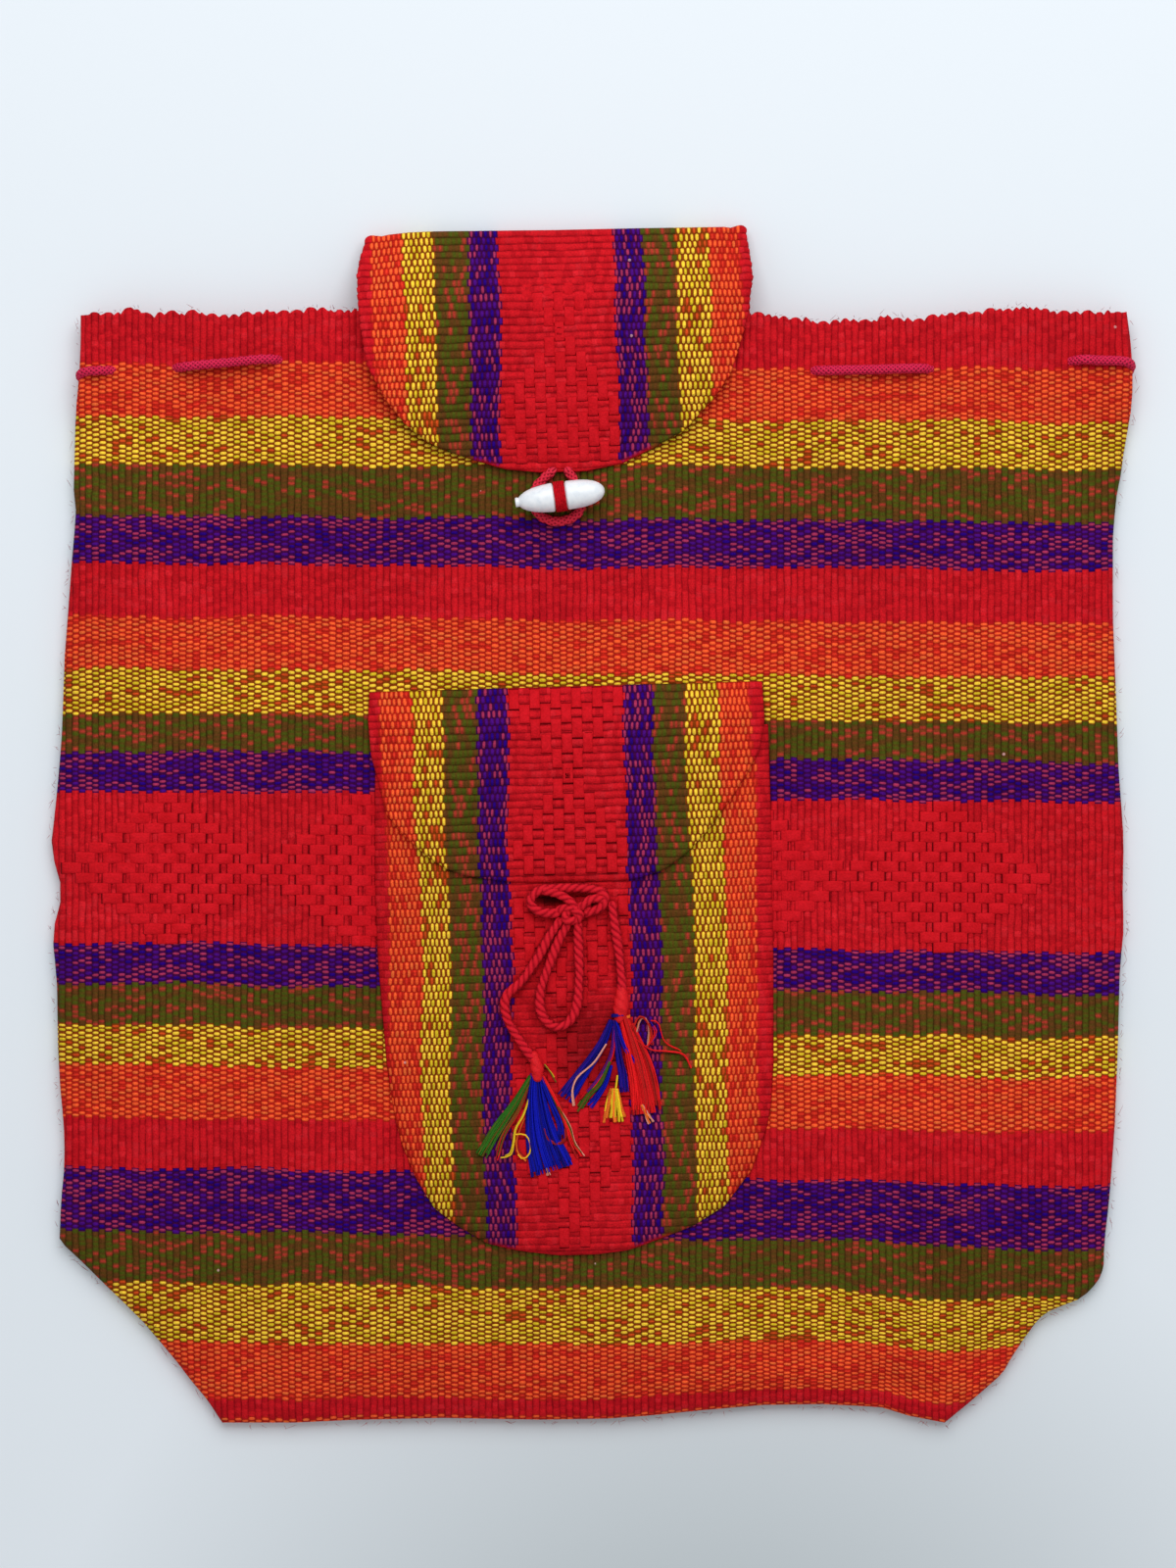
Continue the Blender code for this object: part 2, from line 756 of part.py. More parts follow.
def flap_shape():
    """The flap laid flat, then bent over its crease and down to its tip."""
    profile = flap_profile()
    run = sum((b - a).length for a, b in zip(profile, profile[1:]))
    level = FLAP_LENGTH - FLAP_RISE - CLOTH
    total = run + level
    crease = FLAP_RISE + FLAP_SEAM_DROP + math.pi * FLAP_FOLD / 2
    left, right = tongue(FLAP_WIDTH, crease + FLAP_STRAIGHT, total)
    outline = [(FLAP_WIDTH / 2, 0), (-FLAP_WIDTH / 2, 0), *left, *right]
    rows = [-s for s in evenly(0, FLAP_SEAM_DROP, 0.0165)]
    rows += [-s for s in evenly(FLAP_SEAM_DROP + 0.012, run, 0.0035)]
    rows += [-s for s in evenly(run, total, FLAP_ROWS)]
    tip = crease + FLAP_DIAMOND_TIP
    sheet = turned_sheet(outline, rows, (tip,))
    for corner in sheet.verts:
        bent = bend(profile, -corner.co.y)
        if -corner.co.y > crease:
            bent.z += flap_dome(corner.co.x, bent.y)
        corner.co = Vector((corner.co.x, bent.y, bent.z))
    return sheet


def bend(profile, distance):
    """The point that far along the profile, which runs on level past its end."""
    for a, b in zip(profile, profile[1:]):
        span = (b - a).length
        if distance <= span:
            return a.lerp(b, distance / span)
        distance -= span
    return profile[-1] + Vector((0, -distance, 0))


def make_flap(parent, paints):
    place = (FLAP_MIDDLE, FLAP_RISE, 0)
    paint = [paints[colour] for colour in turned_colours()]
    flap = add_mesh("main_flap", flap_shape(), parent, paint, place, FLAP_TURN)
    thicken(flap, CLOTH)
    return flap


def pouch_seams():
    """The pouch's sewn sides and end, in the pocket's coordinates."""
    left, right = tongue(POUCH_WIDTH, POUCH_STRAIGHT, POUCH_LENGTH)
    return [
        (-POUCH_WIDTH / 2, -POUCH_MOUTH),
        *left,
        *right,
        (POUCH_WIDTH / 2, -POUCH_MOUTH),
    ]


def pouch_height(seams, x, y):
    """Middle of the pouch's cloth."""
    y = min(y, -POUCH_MOUTH)
    inside = abs(x) < POUCH_WIDTH / 2
    distance = distance_to(seams, x, y) if inside else 0.0
    return POUCH_SEAT + POUCH_ROOM * eased(distance / POUCH_SLOPE)


def make_pouch(parent, paints):
    seams = pouch_seams()
    rows = [-s for s in evenly(POUCH_MOUTH, POUCH_LENGTH, POUCH_ROWS)]
    tips = [POUCH_DIAMOND_TIP - DIAMOND_PERIOD * k for k in range(3)]
    sheet = turned_sheet(seams, rows, tips)
    for corner in sheet.verts:
        corner.co.z = pouch_height(seams, corner.co.x, corner.co.y)
    paint = [paints[colour] for colour in turned_colours()]
    pouch = add_mesh("pocket_pouch", sheet, parent, paint)
    thicken(pouch, CLOTH)
    return pouch


def pocket_flap_height(seams, x, y):
    """Middle of the flap's cloth: on the front at its seam, on the pouch below its mouth."""
    on_pouch = pouch_height(seams, x, y) + CLOTH + GAP
    on_front = FRONT_TOP + GAP + CLOTH / 2
    reach = POUCH_MOUTH - CLOTH
    share = blended((y + reach) / reach)
    return on_pouch + (on_front - on_pouch) * share


def make_pocket_flap(parent, paints):
    seams = pouch_seams()
    left, right = tongue(POCKET_FLAP_WIDTH, POCKET_FLAP_STRAIGHT, POCKET_FLAP_LENGTH)
    outline = [
        (POCKET_FLAP_WIDTH / 2, 0),
        (-POCKET_FLAP_WIDTH / 2, 0),
        *left,
        *right,
    ]
    rows = [-s for s in evenly(0, POUCH_MOUTH, 0.0026)]
    rows += [-s for s in evenly(POUCH_MOUTH, POCKET_FLAP_LENGTH, POCKET_FLAP_ROWS)]
    sheet = turned_sheet(outline, rows, (POCKET_FLAP_DIAMOND_TIP,))
    for corner in sheet.verts:
        corner.co.z = pocket_flap_height(seams, corner.co.x, corner.co.y)
    paint = [paints[colour] for colour in turned_colours()]
    flap = add_mesh("pocket_flap", sheet, parent, paint)
    thicken(flap, CLOTH)
    return flap


def turned_profile(profile, sides=ROUND_SIDES):
    """A closed round body along X, from (place, radius) points."""
    shape = bmesh.new()
    rings = []
    for x, radius in profile:
        ring = []
        for k in range(sides):
            angle = 2 * math.pi * k / sides
            ring.append(
                shape.verts.new((x, radius * math.cos(angle), radius * math.sin(angle)))
            )
        rings.append(ring)
    for first, second in zip(rings, rings[1:]):
        for k in range(sides):
            n = (k + 1) % sides
            shape.faces.new((first[k], first[n], second[n], second[k]))
    shape.faces.new(rings[0][::-1])
    shape.faces.new(rings[-1])
    bmesh.ops.recalc_face_normals(shape, faces=shape.faces)
    return shape


def toggle_shape():
    """A turned spindle: a nipple on its left tip, a groove at its waist, a blunt right tip."""
    half = TOGGLE_LENGTH / 2
    groove = TAPE_WIDTH / 2 + GAP
    full = TOGGLE_RADIUS
    left = [(-half, TOGGLE_NIPPLE), (-half + 0.0012, TOGGLE_NIPPLE)]
    body = half - 0.0012
    for share in (0.95, 0.86, 0.74, 0.6, 0.45):
        left.append((-body * share, full * math.sqrt(1 - (share * 0.97) ** 2.4)))
    left.append((-groove, full))
    right = [(groove, full)]
    for share in (0.45, 0.6, 0.74, 0.86, 0.94, 0.985, 1.0):
        right.append((half * share, full * math.sqrt(1 - (share * 0.99) ** 3.2)))
    waist = [(-groove + 1e-4, TOGGLE_WAIST), (groove - 1e-4, TOGGLE_WAIST)]
    return turned_profile(left + waist + right)


def ring_shape(inner, outer, width, sides=ROUND_SIDES):
    """A flat ring round the X axis."""
    shape = bmesh.new()
    loops = []
    for x, radius in ((-1, inner), (-1, outer), (1, outer), (1, inner)):
        loop = []
        for k in range(sides):
            angle = 2 * math.pi * k / sides
            place = (x * width / 2, radius * math.cos(angle), radius * math.sin(angle))
            loop.append(shape.verts.new(place))
        loops.append(loop)
    for i in range(4):
        first, second = loops[i], loops[(i + 1) % 4]
        for k in range(sides):
            n = (k + 1) % sides
            shape.faces.new((first[k], first[n], second[n], second[k]))
    bmesh.ops.recalc_face_normals(shape, faces=shape.faces)
    return shape


def box_shape(size, centre):
    shape = bmesh.new()
    bmesh.ops.create_cube(shape, size=1)
    for corner in shape.verts:
        for axis in range(3):
            corner.co[axis] = corner.co[axis] * size[axis] + centre[axis]
    return shape


def toggle_place():
    """The toggle's middle: it rests on the loop, just below the main flap's tip."""
    reach = FLAP_LENGTH + TOGGLE_BELOW_FLAP
    x = FLAP_MIDDLE + reach * math.sin(FLAP_TURN) + TOGGLE_ASIDE
    y = FLAP_RISE - reach * math.cos(FLAP_TURN)
    return (x, y, FRONT_TOP + GAP + LOOP_CORD + GAP + TOGGLE_RADIUS)


def make_toggle(parent, paints):
    """The spindle and its tape turn together on the tape's shank."""
    place = toggle_place()
    axis = add_empty("toggle_axis", parent, place, TOGGLE_TURN)
    toggle = add_mesh("toggle", toggle_shape(), axis, [paints["white"]])
    toggle.data.shade_smooth()
    toggle.data.set_sharp_from_angle(angle=math.radians(40))
    inner = TOGGLE_WAIST + GAP
    outer = inner + TAPE_THICKNESS
    ring = ring_shape(inner, outer, TAPE_WIDTH)
    tape = add_mesh("toggle_tape", ring, axis, [paints["yarn"]])
    top = -inner - TAPE_THICKNESS / 2
    foot = FRONT_TOP + GAP - place[2]
    size = (TAPE_WIDTH * 0.96, SHANK_THICKNESS, top - foot)
    shank = add_mesh(
        "toggle_shank", box_shape(size, (0, 0, (top + foot) / 2)), axis, [paints["yarn"]]
    )
    shank.hide_render = True
    shank.display_type = "WIRE"
    join = tape.modifiers.new("shank", "BOOLEAN")
    join.operation = "UNION"
    join.solver = "EXACT"
    join.object = shank


def make_loop(parent, paints):
    """The pink loop hangs from the flap's tip and lies under the toggle."""
    x, y, _ = toggle_place()
    z = FRONT_TOP + GAP + LOOP_CORD / 2
    top = TOGGLE_BELOW_FLAP - LOOP_INSET
    route = (
        (-0.0026, top),
        (-0.0058, 0.0066),
        (-0.0088, 0.0030),
        (-0.0093, -0.0018),
        (-0.0072, -0.0064),
        (-0.0010, -0.0086),
        (0.0056, -0.0064),
        (0.0076, -0.0018),
        (0.0066, 0.0030),
        (0.0046, 0.0066),
        (0.0028, top),
    )
    points = smooth_route([(x + a, y + b, z) for a, b in route], LOOP_CORD * 0.8)
    make_tube("flap_loop", points, LOOP_CORD, parent, paints["pink"])


def make_strap(name, side, parent, paints):
    """A flat band from below the flap's seam to a lower corner."""
    top = -FLAP_SEAM_DROP - GAP - STRAP_THICKNESS
    start = Vector((side * STRAP_SPREAD / 2, top))
    end = Vector((side * STRAP_FOOT[0], -STRAP_FOOT[1]))
    steps = 14
    shape = bmesh.new()
    left, right = [], []
    for k in range(steps + 1):
        share = k / steps
        bow = side * STRAP_BOW * math.sin(math.pi * share)
        middle = start.lerp(end, share) + Vector((bow, 0))
        left.append(shape.verts.new((middle.x - STRAP_WIDTH / 2, middle.y, 0)))
        right.append(shape.verts.new((middle.x + STRAP_WIDTH / 2, middle.y, 0)))
    for k in range(steps):
        shape.faces.new((left[k + 1], right[k + 1], right[k], left[k]))
    bottom = list(shape.faces)
    raised = bmesh.ops.extrude_face_region(shape, geom=bottom)
    for item in raised["geom"]:
        if isinstance(item, bmesh.types.BMVert):
            item.co.z = STRAP_THICKNESS
    bmesh.ops.recalc_face_normals(shape, faces=shape.faces)
    add_mesh(name, shape, parent, [paints["strap"]])


def tie_point(x, y, height):
    """A point of the yarn tie: its place on the bag, and its height above the pouch."""
    return (x, -POCKET_DROP - y, POUCH_TOP + GAP + YARN / 2 + height)


def make_tie(parent, paints):
    """The yarn on the pocket flap: laced part, knot, bow and two tails."""
    knot = tie_point(-0.0080, 0.0806, 0)
    place = (knot[0], knot[1], POUCH_TOP + GAP + TIE_KNOT_SIZE[2] / 2)
    add_mesh("tie_knot", squashed_ball(TIE_KNOT_SIZE), parent, [paints["yarn"]], place)
    routes = {
        "tie_lacing": (
            (-0.0133, 0.0806, 0),
            (-0.0190, 0.0800, 0),
            (-0.0224, 0.0768, 0),
            (-0.0198, 0.0728, 0),
            (-0.0120, 0.0718, 0),
            (-0.0020, 0.0718, 0),
            (0.0034, 0.0736, 0),
            (0.0030, 0.0778, 0),
            (-0.0026, 0.0806, 0),
        ),
        "tie_bow": (
            (-0.0094, 0.0848, 0),
            (-0.0125, 0.0905, 0),
            (-0.0158, 0.0990, 0),
            (-0.0187, 0.1075, 0),
            (-0.0187, 0.1155, 0),
            (-0.0148, 0.1204, 0),
            (-0.0097, 0.1198, 0),
            (-0.0064, 0.1150, 0),
            (-0.0053, 0.1080, 0),
            (-0.0051, 0.1000, 0),
            (-0.0054, 0.0910, 0),
            (-0.0056, 0.0848, 0),
        ),
        "tie_tail_left": (
            (-0.0122, 0.0834, 0),
            (-0.0158, 0.0890, 0),
            (-0.0205, 0.0975, 0),
            (-0.0260, 0.1050, 0),
            (-0.0311, 0.1105, 0),
            (-0.0308, 0.1175, 0),
            (-0.0264, 0.1255, 0),
            (-0.0213, 0.1325, 0),
        ),
        "tie_tail_right": (
            (0.0066, 0.0776, 0),
            (0.0073, 0.0835, 0),
            (0.0083, 0.0895, 0),
            (0.0092, 0.0965, 0),
            (0.0098, 0.1020, 0),
            (0.0100, 0.1075, 0),
        ),
    }
    for name, route in routes.items():
        points = smooth_route([tie_point(*p) for p in route], YARN * 1.1)
        make_tube(name, points, YARN, parent, paints["yarn"])
    make_tassels(parent, paints, routes)


def tassel_shape(spread, length, ends):
    """A fan of strands that hangs along -Y: a round head and an uneven skirt."""
    shape = bmesh.new()
    strands = len(ends)
    across = 2 * strands
    rings = []
    for share in (0.0, 0.08, 0.2, 0.4, 0.65, 0.85, 1.0):
        opened = blended(share * 1.1)
        half = TASSEL_HEAD + (spread / 2 - TASSEL_HEAD) * opened
        ring = []
        for j in range(across + 1):
            x = 2 * j / across - 1
            crest = 1.0 if j % 2 else 0.72
            reach = 1 + (ends[min(j // 2, strands - 1)] - 1) * share
            lift = TASSEL_HEIGHT * (1 - 0.35 * opened) * (1 - 0.75 * x * x) * crest
            ring.append(shape.verts.new((x * half, -length * share * reach, lift)))
        for j in range(across - 1, 0, -1):
            x = 2 * j / across - 1
            reach = 1 + (ends[min(j // 2, strands - 1)] - 1) * share
            ring.append(shape.verts.new((x * half, -length * share * reach, 0)))
        rings.append(ring)
    for first, second in zip(rings, rings[1:]):
        for k in range(len(first)):
            n = (k + 1) % len(first)
            shape.faces.new((first[k], first[n], second[n], second[k]))
    shape.faces.new(rings[0][::-1])
    shape.faces.new(rings[-1])
    bmesh.ops.recalc_face_normals(shape, faces=shape.faces)
    return shape


def make_tassels(parent, paints, routes):
    """One at the end of each tail."""
    seat = POUCH_TOP + GAP
    tassels = (
        ("left", LEFT_TASSEL, -2, (1.0, 0.93, 0.98, 0.86, 1.0, 0.95)),
        ("right", RIGHT_TASSEL, 2, (0.97, 1.0, 0.92, 0.98, 0.88, 0.9)),
    )
    for side, (spread, length), degrees, ends in tassels:
        x, y, _ = tie_point(*routes["tie_tail_" + side][-1])
        place = (x, y - YARN / 2, seat)
        shape = tassel_shape(spread, length, ends)
        turn = math.radians(degrees)
        add_mesh("tassel_" + side, shape, parent, [paints["blue"]], place, turn)


def bag_offset(seams, cord_points):
    """Moves the bag so that its outer box is centred on the origin."""
    reach = CORD / 2
    xs = [point.x for point in cord_points]
    left = min(min(x for x, _ in seams) - CLOTH / 2, min(xs) - reach)
    right = max(max(x for x, _ in seams) + CLOTH / 2, max(xs) + reach)
    bottom = min(y for _, y in seams) - CLOTH / 2
    crease = FLAP_RISE + math.sin(FLAP_TURN) * FLAP_WIDTH / 2
    return (-(left + right) / 2, -(bottom + crease) / 2, 0)


def main():
    clear_scene()
    paints = {name: make_material(name) for name in SCREEN_COLOURS if name != "white"}
    paints["white"] = make_material("white", roughness=0.3)
    seams = body_outline()
    cord_points = drawstring_route(seams)
    bag = add_empty("bag_frame", None, bag_offset(seams, cord_points))
    pocket_place = (POCKET_MIDDLE, -POCKET_DROP, 0)
    pocket = add_empty("pocket_frame", bag, pocket_place, POCKET_TURN)
    cutter = make_cutter("cord_holes", cord_points, CORD + 2 * HOLE_CLEARANCE, bag)
    make_body(bag, paints, seams, cutter)
    make_drawstring(bag, paints, cord_points)
    make_flap(bag, paints)
    make_pouch(pocket, paints)
    make_pocket_flap(pocket, paints)
    make_toggle(bag, paints)
    make_loop(bag, paints)
    make_strap("strap_left", -1, bag, paints)
    make_strap("strap_right", 1, bag, paints)
    make_tie(bag, paints)


main()
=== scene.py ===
# %% [markdown]
# # A hand-woven striped cotton backpack, lying flat on its back
# The bag is one length of ribbed cloth, folded at the bottom, with a flap, an outer pocket
# and a yarn tie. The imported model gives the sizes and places. This script dresses it piece
# by piece: each cell makes one piece or one finish. Lengths are in metres unless a comment
# says otherwise, the bag lies on z = 0, and +Y points to its mouth.

import math

import bmesh
import bpy
import numpy as np
from mathutils import Matrix


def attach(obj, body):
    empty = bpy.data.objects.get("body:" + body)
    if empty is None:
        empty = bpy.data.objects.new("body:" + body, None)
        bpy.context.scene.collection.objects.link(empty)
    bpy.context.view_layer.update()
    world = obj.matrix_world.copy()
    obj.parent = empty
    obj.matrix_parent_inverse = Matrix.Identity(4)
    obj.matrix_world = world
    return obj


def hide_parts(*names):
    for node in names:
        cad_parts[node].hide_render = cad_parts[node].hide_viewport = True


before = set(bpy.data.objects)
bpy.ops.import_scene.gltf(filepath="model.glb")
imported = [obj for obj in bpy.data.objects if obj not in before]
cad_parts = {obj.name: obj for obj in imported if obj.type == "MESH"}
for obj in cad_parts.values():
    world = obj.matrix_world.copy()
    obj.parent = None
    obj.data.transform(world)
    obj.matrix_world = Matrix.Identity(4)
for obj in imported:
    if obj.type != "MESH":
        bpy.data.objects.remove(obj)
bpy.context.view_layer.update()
print("nodes:", ", ".join(sorted(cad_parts)))

# %% Sizes that the pieces share
BAG = np.array((0.00079, 0.18332, 0.0))  # middle of the mouth
CLOTH = 0.0020  # thickness of the cloth
GAP = 0.0003  # air between pieces that touch
BACK_LIFT = 0.0042  # underside of the back above the surface
FRONT_TOP = 0.0132  # top of the front, away from the seams
BODY_LENGTH = 0.3966  # from the mouth to the bottom fold
RIB = 0.00242  # from one rib of the body's cloth to the next
TURNED_RIB = 0.00268  # the same on flap and pocket, whose cloth is turned a quarter turn
RIB_SHOULDER = 0.26  # from the line beside a rib to its shoulder, as a share of the rib
RIB_POINTS = np.array((0.0, RIB_SHOULDER, 0.74))
DASH = 0.00178  # from one dash of yarn to the next, along a rib
CORD_DROP = 0.0195  # from the mouth to the drawstring, on the front
CORD_BACK_DROP = 0.0275  # the same on the back
FLAP_MIDDLE = -0.0133  # of the main flap, across the bag
FLAP_TURN = 1.8  # degrees
FULL_TURN = 2 * math.pi
WELD = 1e-6  # points of one piece that lie closer are one point

# %% [markdown]
# ## Camera, light and floor
# The photograph looks straight down. A long lens, far away, keeps the bag's edges upright.
# One wide, soft lamp from the upper right gives the pale shadows on the left of the flap and
# of the pocket, and a pale world fills them.

# %% Camera
CAMERA_HEIGHT = 2.2
SEAM_LEVEL = 0.008  # height of the bag's seams
VIEW_HEIGHT = 0.56  # what the picture shows from top to bottom, at that height
camera_data = bpy.data.cameras.new("camera")
camera_data.sensor_fit = "VERTICAL"
camera_data.sensor_height = 24
camera_data.lens = camera_data.sensor_height * (CAMERA_HEIGHT - SEAM_LEVEL) / VIEW_HEIGHT
camera = bpy.data.objects.new("camera", camera_data)
camera.location = (-0.0012, 0.0153, CAMERA_HEIGHT)
bpy.context.scene.collection.objects.link(camera)
bpy.context.scene.camera = camera
print("lens", round(camera_data.lens, 1), "mm")


# %% Colours and nodes
def linear(channel):
    """An 8-bit screen value as linear light."""
    value = channel / 255
    return value / 12.92 if value <= 0.04045 else ((value + 0.055) / 1.055) ** 2.4


def colour(red, green, blue):
    return (linear(red), linear(green), linear(blue), 1.0)


def put(tree, socket, value):
    """Sets a socket to a number or a colour, or joins it to another node's output."""
    if isinstance(value, bpy.types.NodeSocket):
        tree.links.new(value, socket)
    elif value is not None:
        socket.default_value = value


def add(tree, kind, *values, **settings):
    """A node with its settings, and with values for its first inputs in their order."""
    made = tree.nodes.new("ShaderNode" + kind)
    for name, value in settings.items():
        setattr(made, name, value)
    for socket, value in zip(made.inputs, values):
        put(tree, socket, value)
    return made


def calc(tree, operation, *values):
    return add(tree, "Math", *values, operation=operation).outputs[0]


def times(tree, first, second):
    return calc(tree, "MULTIPLY", first, second)


def plus(tree, first, second):
    return calc(tree, "ADD", first, second)


def minus(tree, first, second):
    return calc(tree, "SUBTRACT", first, second)


def mix(tree, share, first, second, blend="MIX"):
    made = tree.nodes.new("ShaderNodeMix")
    made.data_type = "RGBA"
    made.blend_type = blend
    put(tree, made.inputs[0], share)
    put(tree, made.inputs[6], first)
    put(tree, made.inputs[7], second)
    return made.outputs[2]


def fit(tree, value, low, high, first=0.0, second=1.0):
    """Carries a value from one range to another, held at its ends."""
    return add(tree, "MapRange", value, low, high, first, second).outputs[0]


# %% Places and noises in a material
def own_place(tree):
    return tree.nodes.new("ShaderNodeTexCoord").outputs["Object"]


def weave_place(tree):
    """A point's place in the weave: across its ribs, and along them."""
    return add(tree, "SeparateXYZ", add(tree, "UVMap", uv_map="weave").outputs[0]).outputs[:2]


def attribute(tree, name, output="Fac"):
    return add(tree, "Attribute", attribute_name=name).outputs[output]


def noise(tree, place, scale, detail):
    return add(tree, "TexNoise", place, None, scale, detail).outputs[0]


def grey_of(tree, shade):
    return add(tree, "CombineColor", shade, shade, shade).outputs[0]


# %% Materials
def new_material(name, roughness=0.85, gloss=None):
    """An empty material, its node tree and its shader; gloss is left alone when not given."""
    material = bpy.data.materials.new(name)
    material.use_nodes = True
    shader = material.node_tree.nodes["Principled BSDF"]
    shader.inputs["Roughness"].default_value = roughness
    if gloss is not None:
        shader.inputs["Specular IOR Level"].default_value = gloss
    return material, material.node_tree, shader


def set_paint(tree, shader, paint, shade=None):
    """Sets the base colour, darkened or lightened by a shade about 1."""
    if shade is not None:
        paint = mix(tree, 1.0, paint, grey_of(tree, shade), "MULTIPLY")
    put(tree, shader.inputs["Base Color"], paint)


def set_bump(tree, shader, height, distance, strength=1.0):
    bump = tree.nodes.new("ShaderNodeBump")
    bump.inputs["Strength"].default_value = strength
    bump.inputs["Distance"].default_value = distance
    put(tree, bump.inputs["Height"], height)
    put(tree, shader.inputs["Normal"], bump.outputs[0])


# %% Floor, lamp and world
FLOOR_SIZE = 6
PAINTED_SHADOW_MIDDLE = (0.045, -0.36, 0.0)  # the middle of the shadow painted on the surface, below the bag
SHADOW_NEAR, SHADOW_FAR = 0.08, 0.25  # how far round it the painted shadow reaches
LAMP_PLACE = (0.12, 0.95, 1.22)
LAMP_SIZE = (1.6, 1.2)
LAMP_TURN = (-37, 5, 0)  # degrees
LAMP_POWER = 17
WORLD_STRENGTH = 0.55


def make_floor():
    bpy.ops.object.select_all(action="DESELECT")
    bpy.ops.mesh.primitive_plane_add(size=FLOOR_SIZE)
    floor = bpy.context.object
    floor.name = "floor"
    material, tree, shader = new_material("pale_surface", 0.7)
    place = own_place(tree)
    # painted shadow: the floor's colour darkens towards a place below the bag
    away = add(tree, "VectorMath", place, PAINTED_SHADOW_MIDDLE, operation="DISTANCE").outputs["Value"]
    share = fit(tree, away, SHADOW_NEAR, SHADOW_FAR)
    paint = mix(tree, share, colour(190, 198, 202), colour(228, 235, 241))
    set_paint(tree, shader, paint)
    floor.data.materials.append(material)


def make_lamp():
    data = bpy.data.lights.new("window", "AREA")
    data.shape = "RECTANGLE"
    data.size, data.size_y = LAMP_SIZE
    data.energy = LAMP_POWER
    lamp = bpy.data.objects.new("window", data)
    lamp.location = LAMP_PLACE
    lamp.rotation_euler = [math.radians(angle) for angle in LAMP_TURN]
    bpy.context.scene.collection.objects.link(lamp)


def make_world():
    world = bpy.data.worlds.new("room")
    world.use_nodes = True
    background = world.node_tree.nodes["Background"]
    background.inputs["Color"].default_value = (0.96, 0.98, 1.0, 1.0)
    background.inputs["Strength"].default_value = WORLD_STRENGTH
    bpy.context.scene.world = world


make_floor()
make_lamp()
make_world()
bpy.context.scene.view_settings.view_transform = "Standard"
print("lamp of", LAMP_POWER, "W, world strength", WORLD_STRENGTH)


# %% [markdown]
# ## Helpers for soft shapes
# Cloth, cords and yarn are all grids of points: rows and columns that are placed by a rule
# and then joined wherever two points meet. That gives full control of every rib and edge,
# which operators on a primitive would not.


# %% Grids that become one closed mesh
def grid_faces(grids):
    """Corners of every face of the grids, numbered through all of them."""
    faces, first = [], 0
    for grid in grids:
        rows, columns = grid["at"].shape[:2]
        index = first + np.arange(rows * columns).reshape(rows, columns)
        around = (index[:-1, :-1], index[:-1, 1:], index[1:, 1:], index[1:, :-1])
        faces.append(np.stack(around, -1).reshape(-1, 4))
        first += rows * columns
    return np.concatenate(faces).tolist()


def joined(faces, same):
    """The faces by their joined corners, without those that shrank to a line."""
    kept, corners = [], []
    for face in faces:
        found, chosen = [], []
        for corner in face:
            if same[corner] not in found:
                found.append(same[corner])
                chosen.append(corner)
        if len(found) > 2:
            kept.append(found)
            corners.extend(chosen)
    return kept, corners


def flat_list(grids, name, width):
    return np.concatenate([grid[name].reshape(-1, width) for grid in grids])


def add_extra(mesh, grids, first, name, kind, field, width):
    """Carries a further value of the grids' points to the mesh, as an attribute."""
    if name in grids[0]:
        values = flat_list(grids, name, width)[first]
        mesh.attributes.new(name, kind, "POINT").data.foreach_set(field, values.ravel())


def build(name, grids, material, body="bag"):
    """One object from grids of points. Its weave coordinates are its UV map."""
    points = flat_list(grids, "at", 3)
    marks = np.round(points / WELD).astype(np.int64)
    _, first, same = np.unique(marks, axis=0, return_index=True, return_inverse=True)
    faces, corners = joined(grid_faces(grids), same.reshape(-1).tolist())
    mesh = bpy.data.meshes.new(name)
    mesh.from_pydata(points[first], [], faces)
    uv = flat_list(grids, "uv", 2)[corners]
    mesh.uv_layers.new(name="weave").data.foreach_set("uv", uv.ravel())
    add_extra(mesh, grids, first, "hem", "FLOAT", "value", 1)
    add_extra(mesh, grids, first, "shade", "FLOAT", "value", 1)
    add_extra(mesh, grids, first, "tint", "FLOAT_COLOR", "color", 4)
    shape = bmesh.new()
    shape.from_mesh(mesh)
    bmesh.ops.recalc_face_normals(shape, faces=shape.faces)
    shape.to_mesh(mesh)
    shape.free()
    mesh.shade_smooth()
    mesh.materials.append(material)
    made = bpy.data.objects.new(name, mesh)
    bpy.context.scene.collection.objects.link(made)
    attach(made, body)
    print(name, len(mesh.polygons), "faces")
    return made


# %% Smooth lines
def smooth_path(points, spacing):
    """Evenly spaced points along a smooth curve through the given ones."""
    points = np.array(points, float)
    dense = []
    for i in range(len(points) - 1):
        start, end = points[i], points[i + 1]
        span = np.linalg.norm(end - start)
        leave = end - points[max(i - 1, 0)]
        arrive = points[min(i + 2, len(points) - 1)] - start
        leave *= span / np.linalg.norm(leave)
        arrive *= span / np.linalg.norm(arrive)
        t = np.linspace(0, 1, 24, endpoint=False)[:, None]
        dense.append(
            start * (2 * t**3 - 3 * t**2 + 1)
            + leave * (t**3 - 2 * t**2 + t)
            + end * (3 * t**2 - 2 * t**3)
            + arrive * (t**3 - t**2)
        )
    dense.append(points[-1:])
    return evenly(np.concatenate(dense), spacing)


def run_along(line):
    """How far along the line each of its points lies."""
    return np.concatenate([[0], np.cumsum(np.linalg.norm(np.diff(line, axis=0), axis=1))])


def evenly(line, spacing):
    run = run_along(line)
    places = np.linspace(0, run[-1], max(int(round(run[-1] / spacing)), 2) + 1)
    return np.stack([np.interp(places, run, line[:, k]) for k in range(3)], 1)


def line_length(line):
    return float(np.linalg.norm(np.diff(line, axis=0), axis=1).sum())


def eased(share):
    """Rises from 0 to 1, steep at first and level at the end."""
    return 1 - (1 - np.clip(share, 0, 1)) ** 2


def blended(share):
    """Rises from 0 to 1, level at both ends."""
    share = np.clip(share, 0, 1)
    return share * share * (3 - 2 * share)


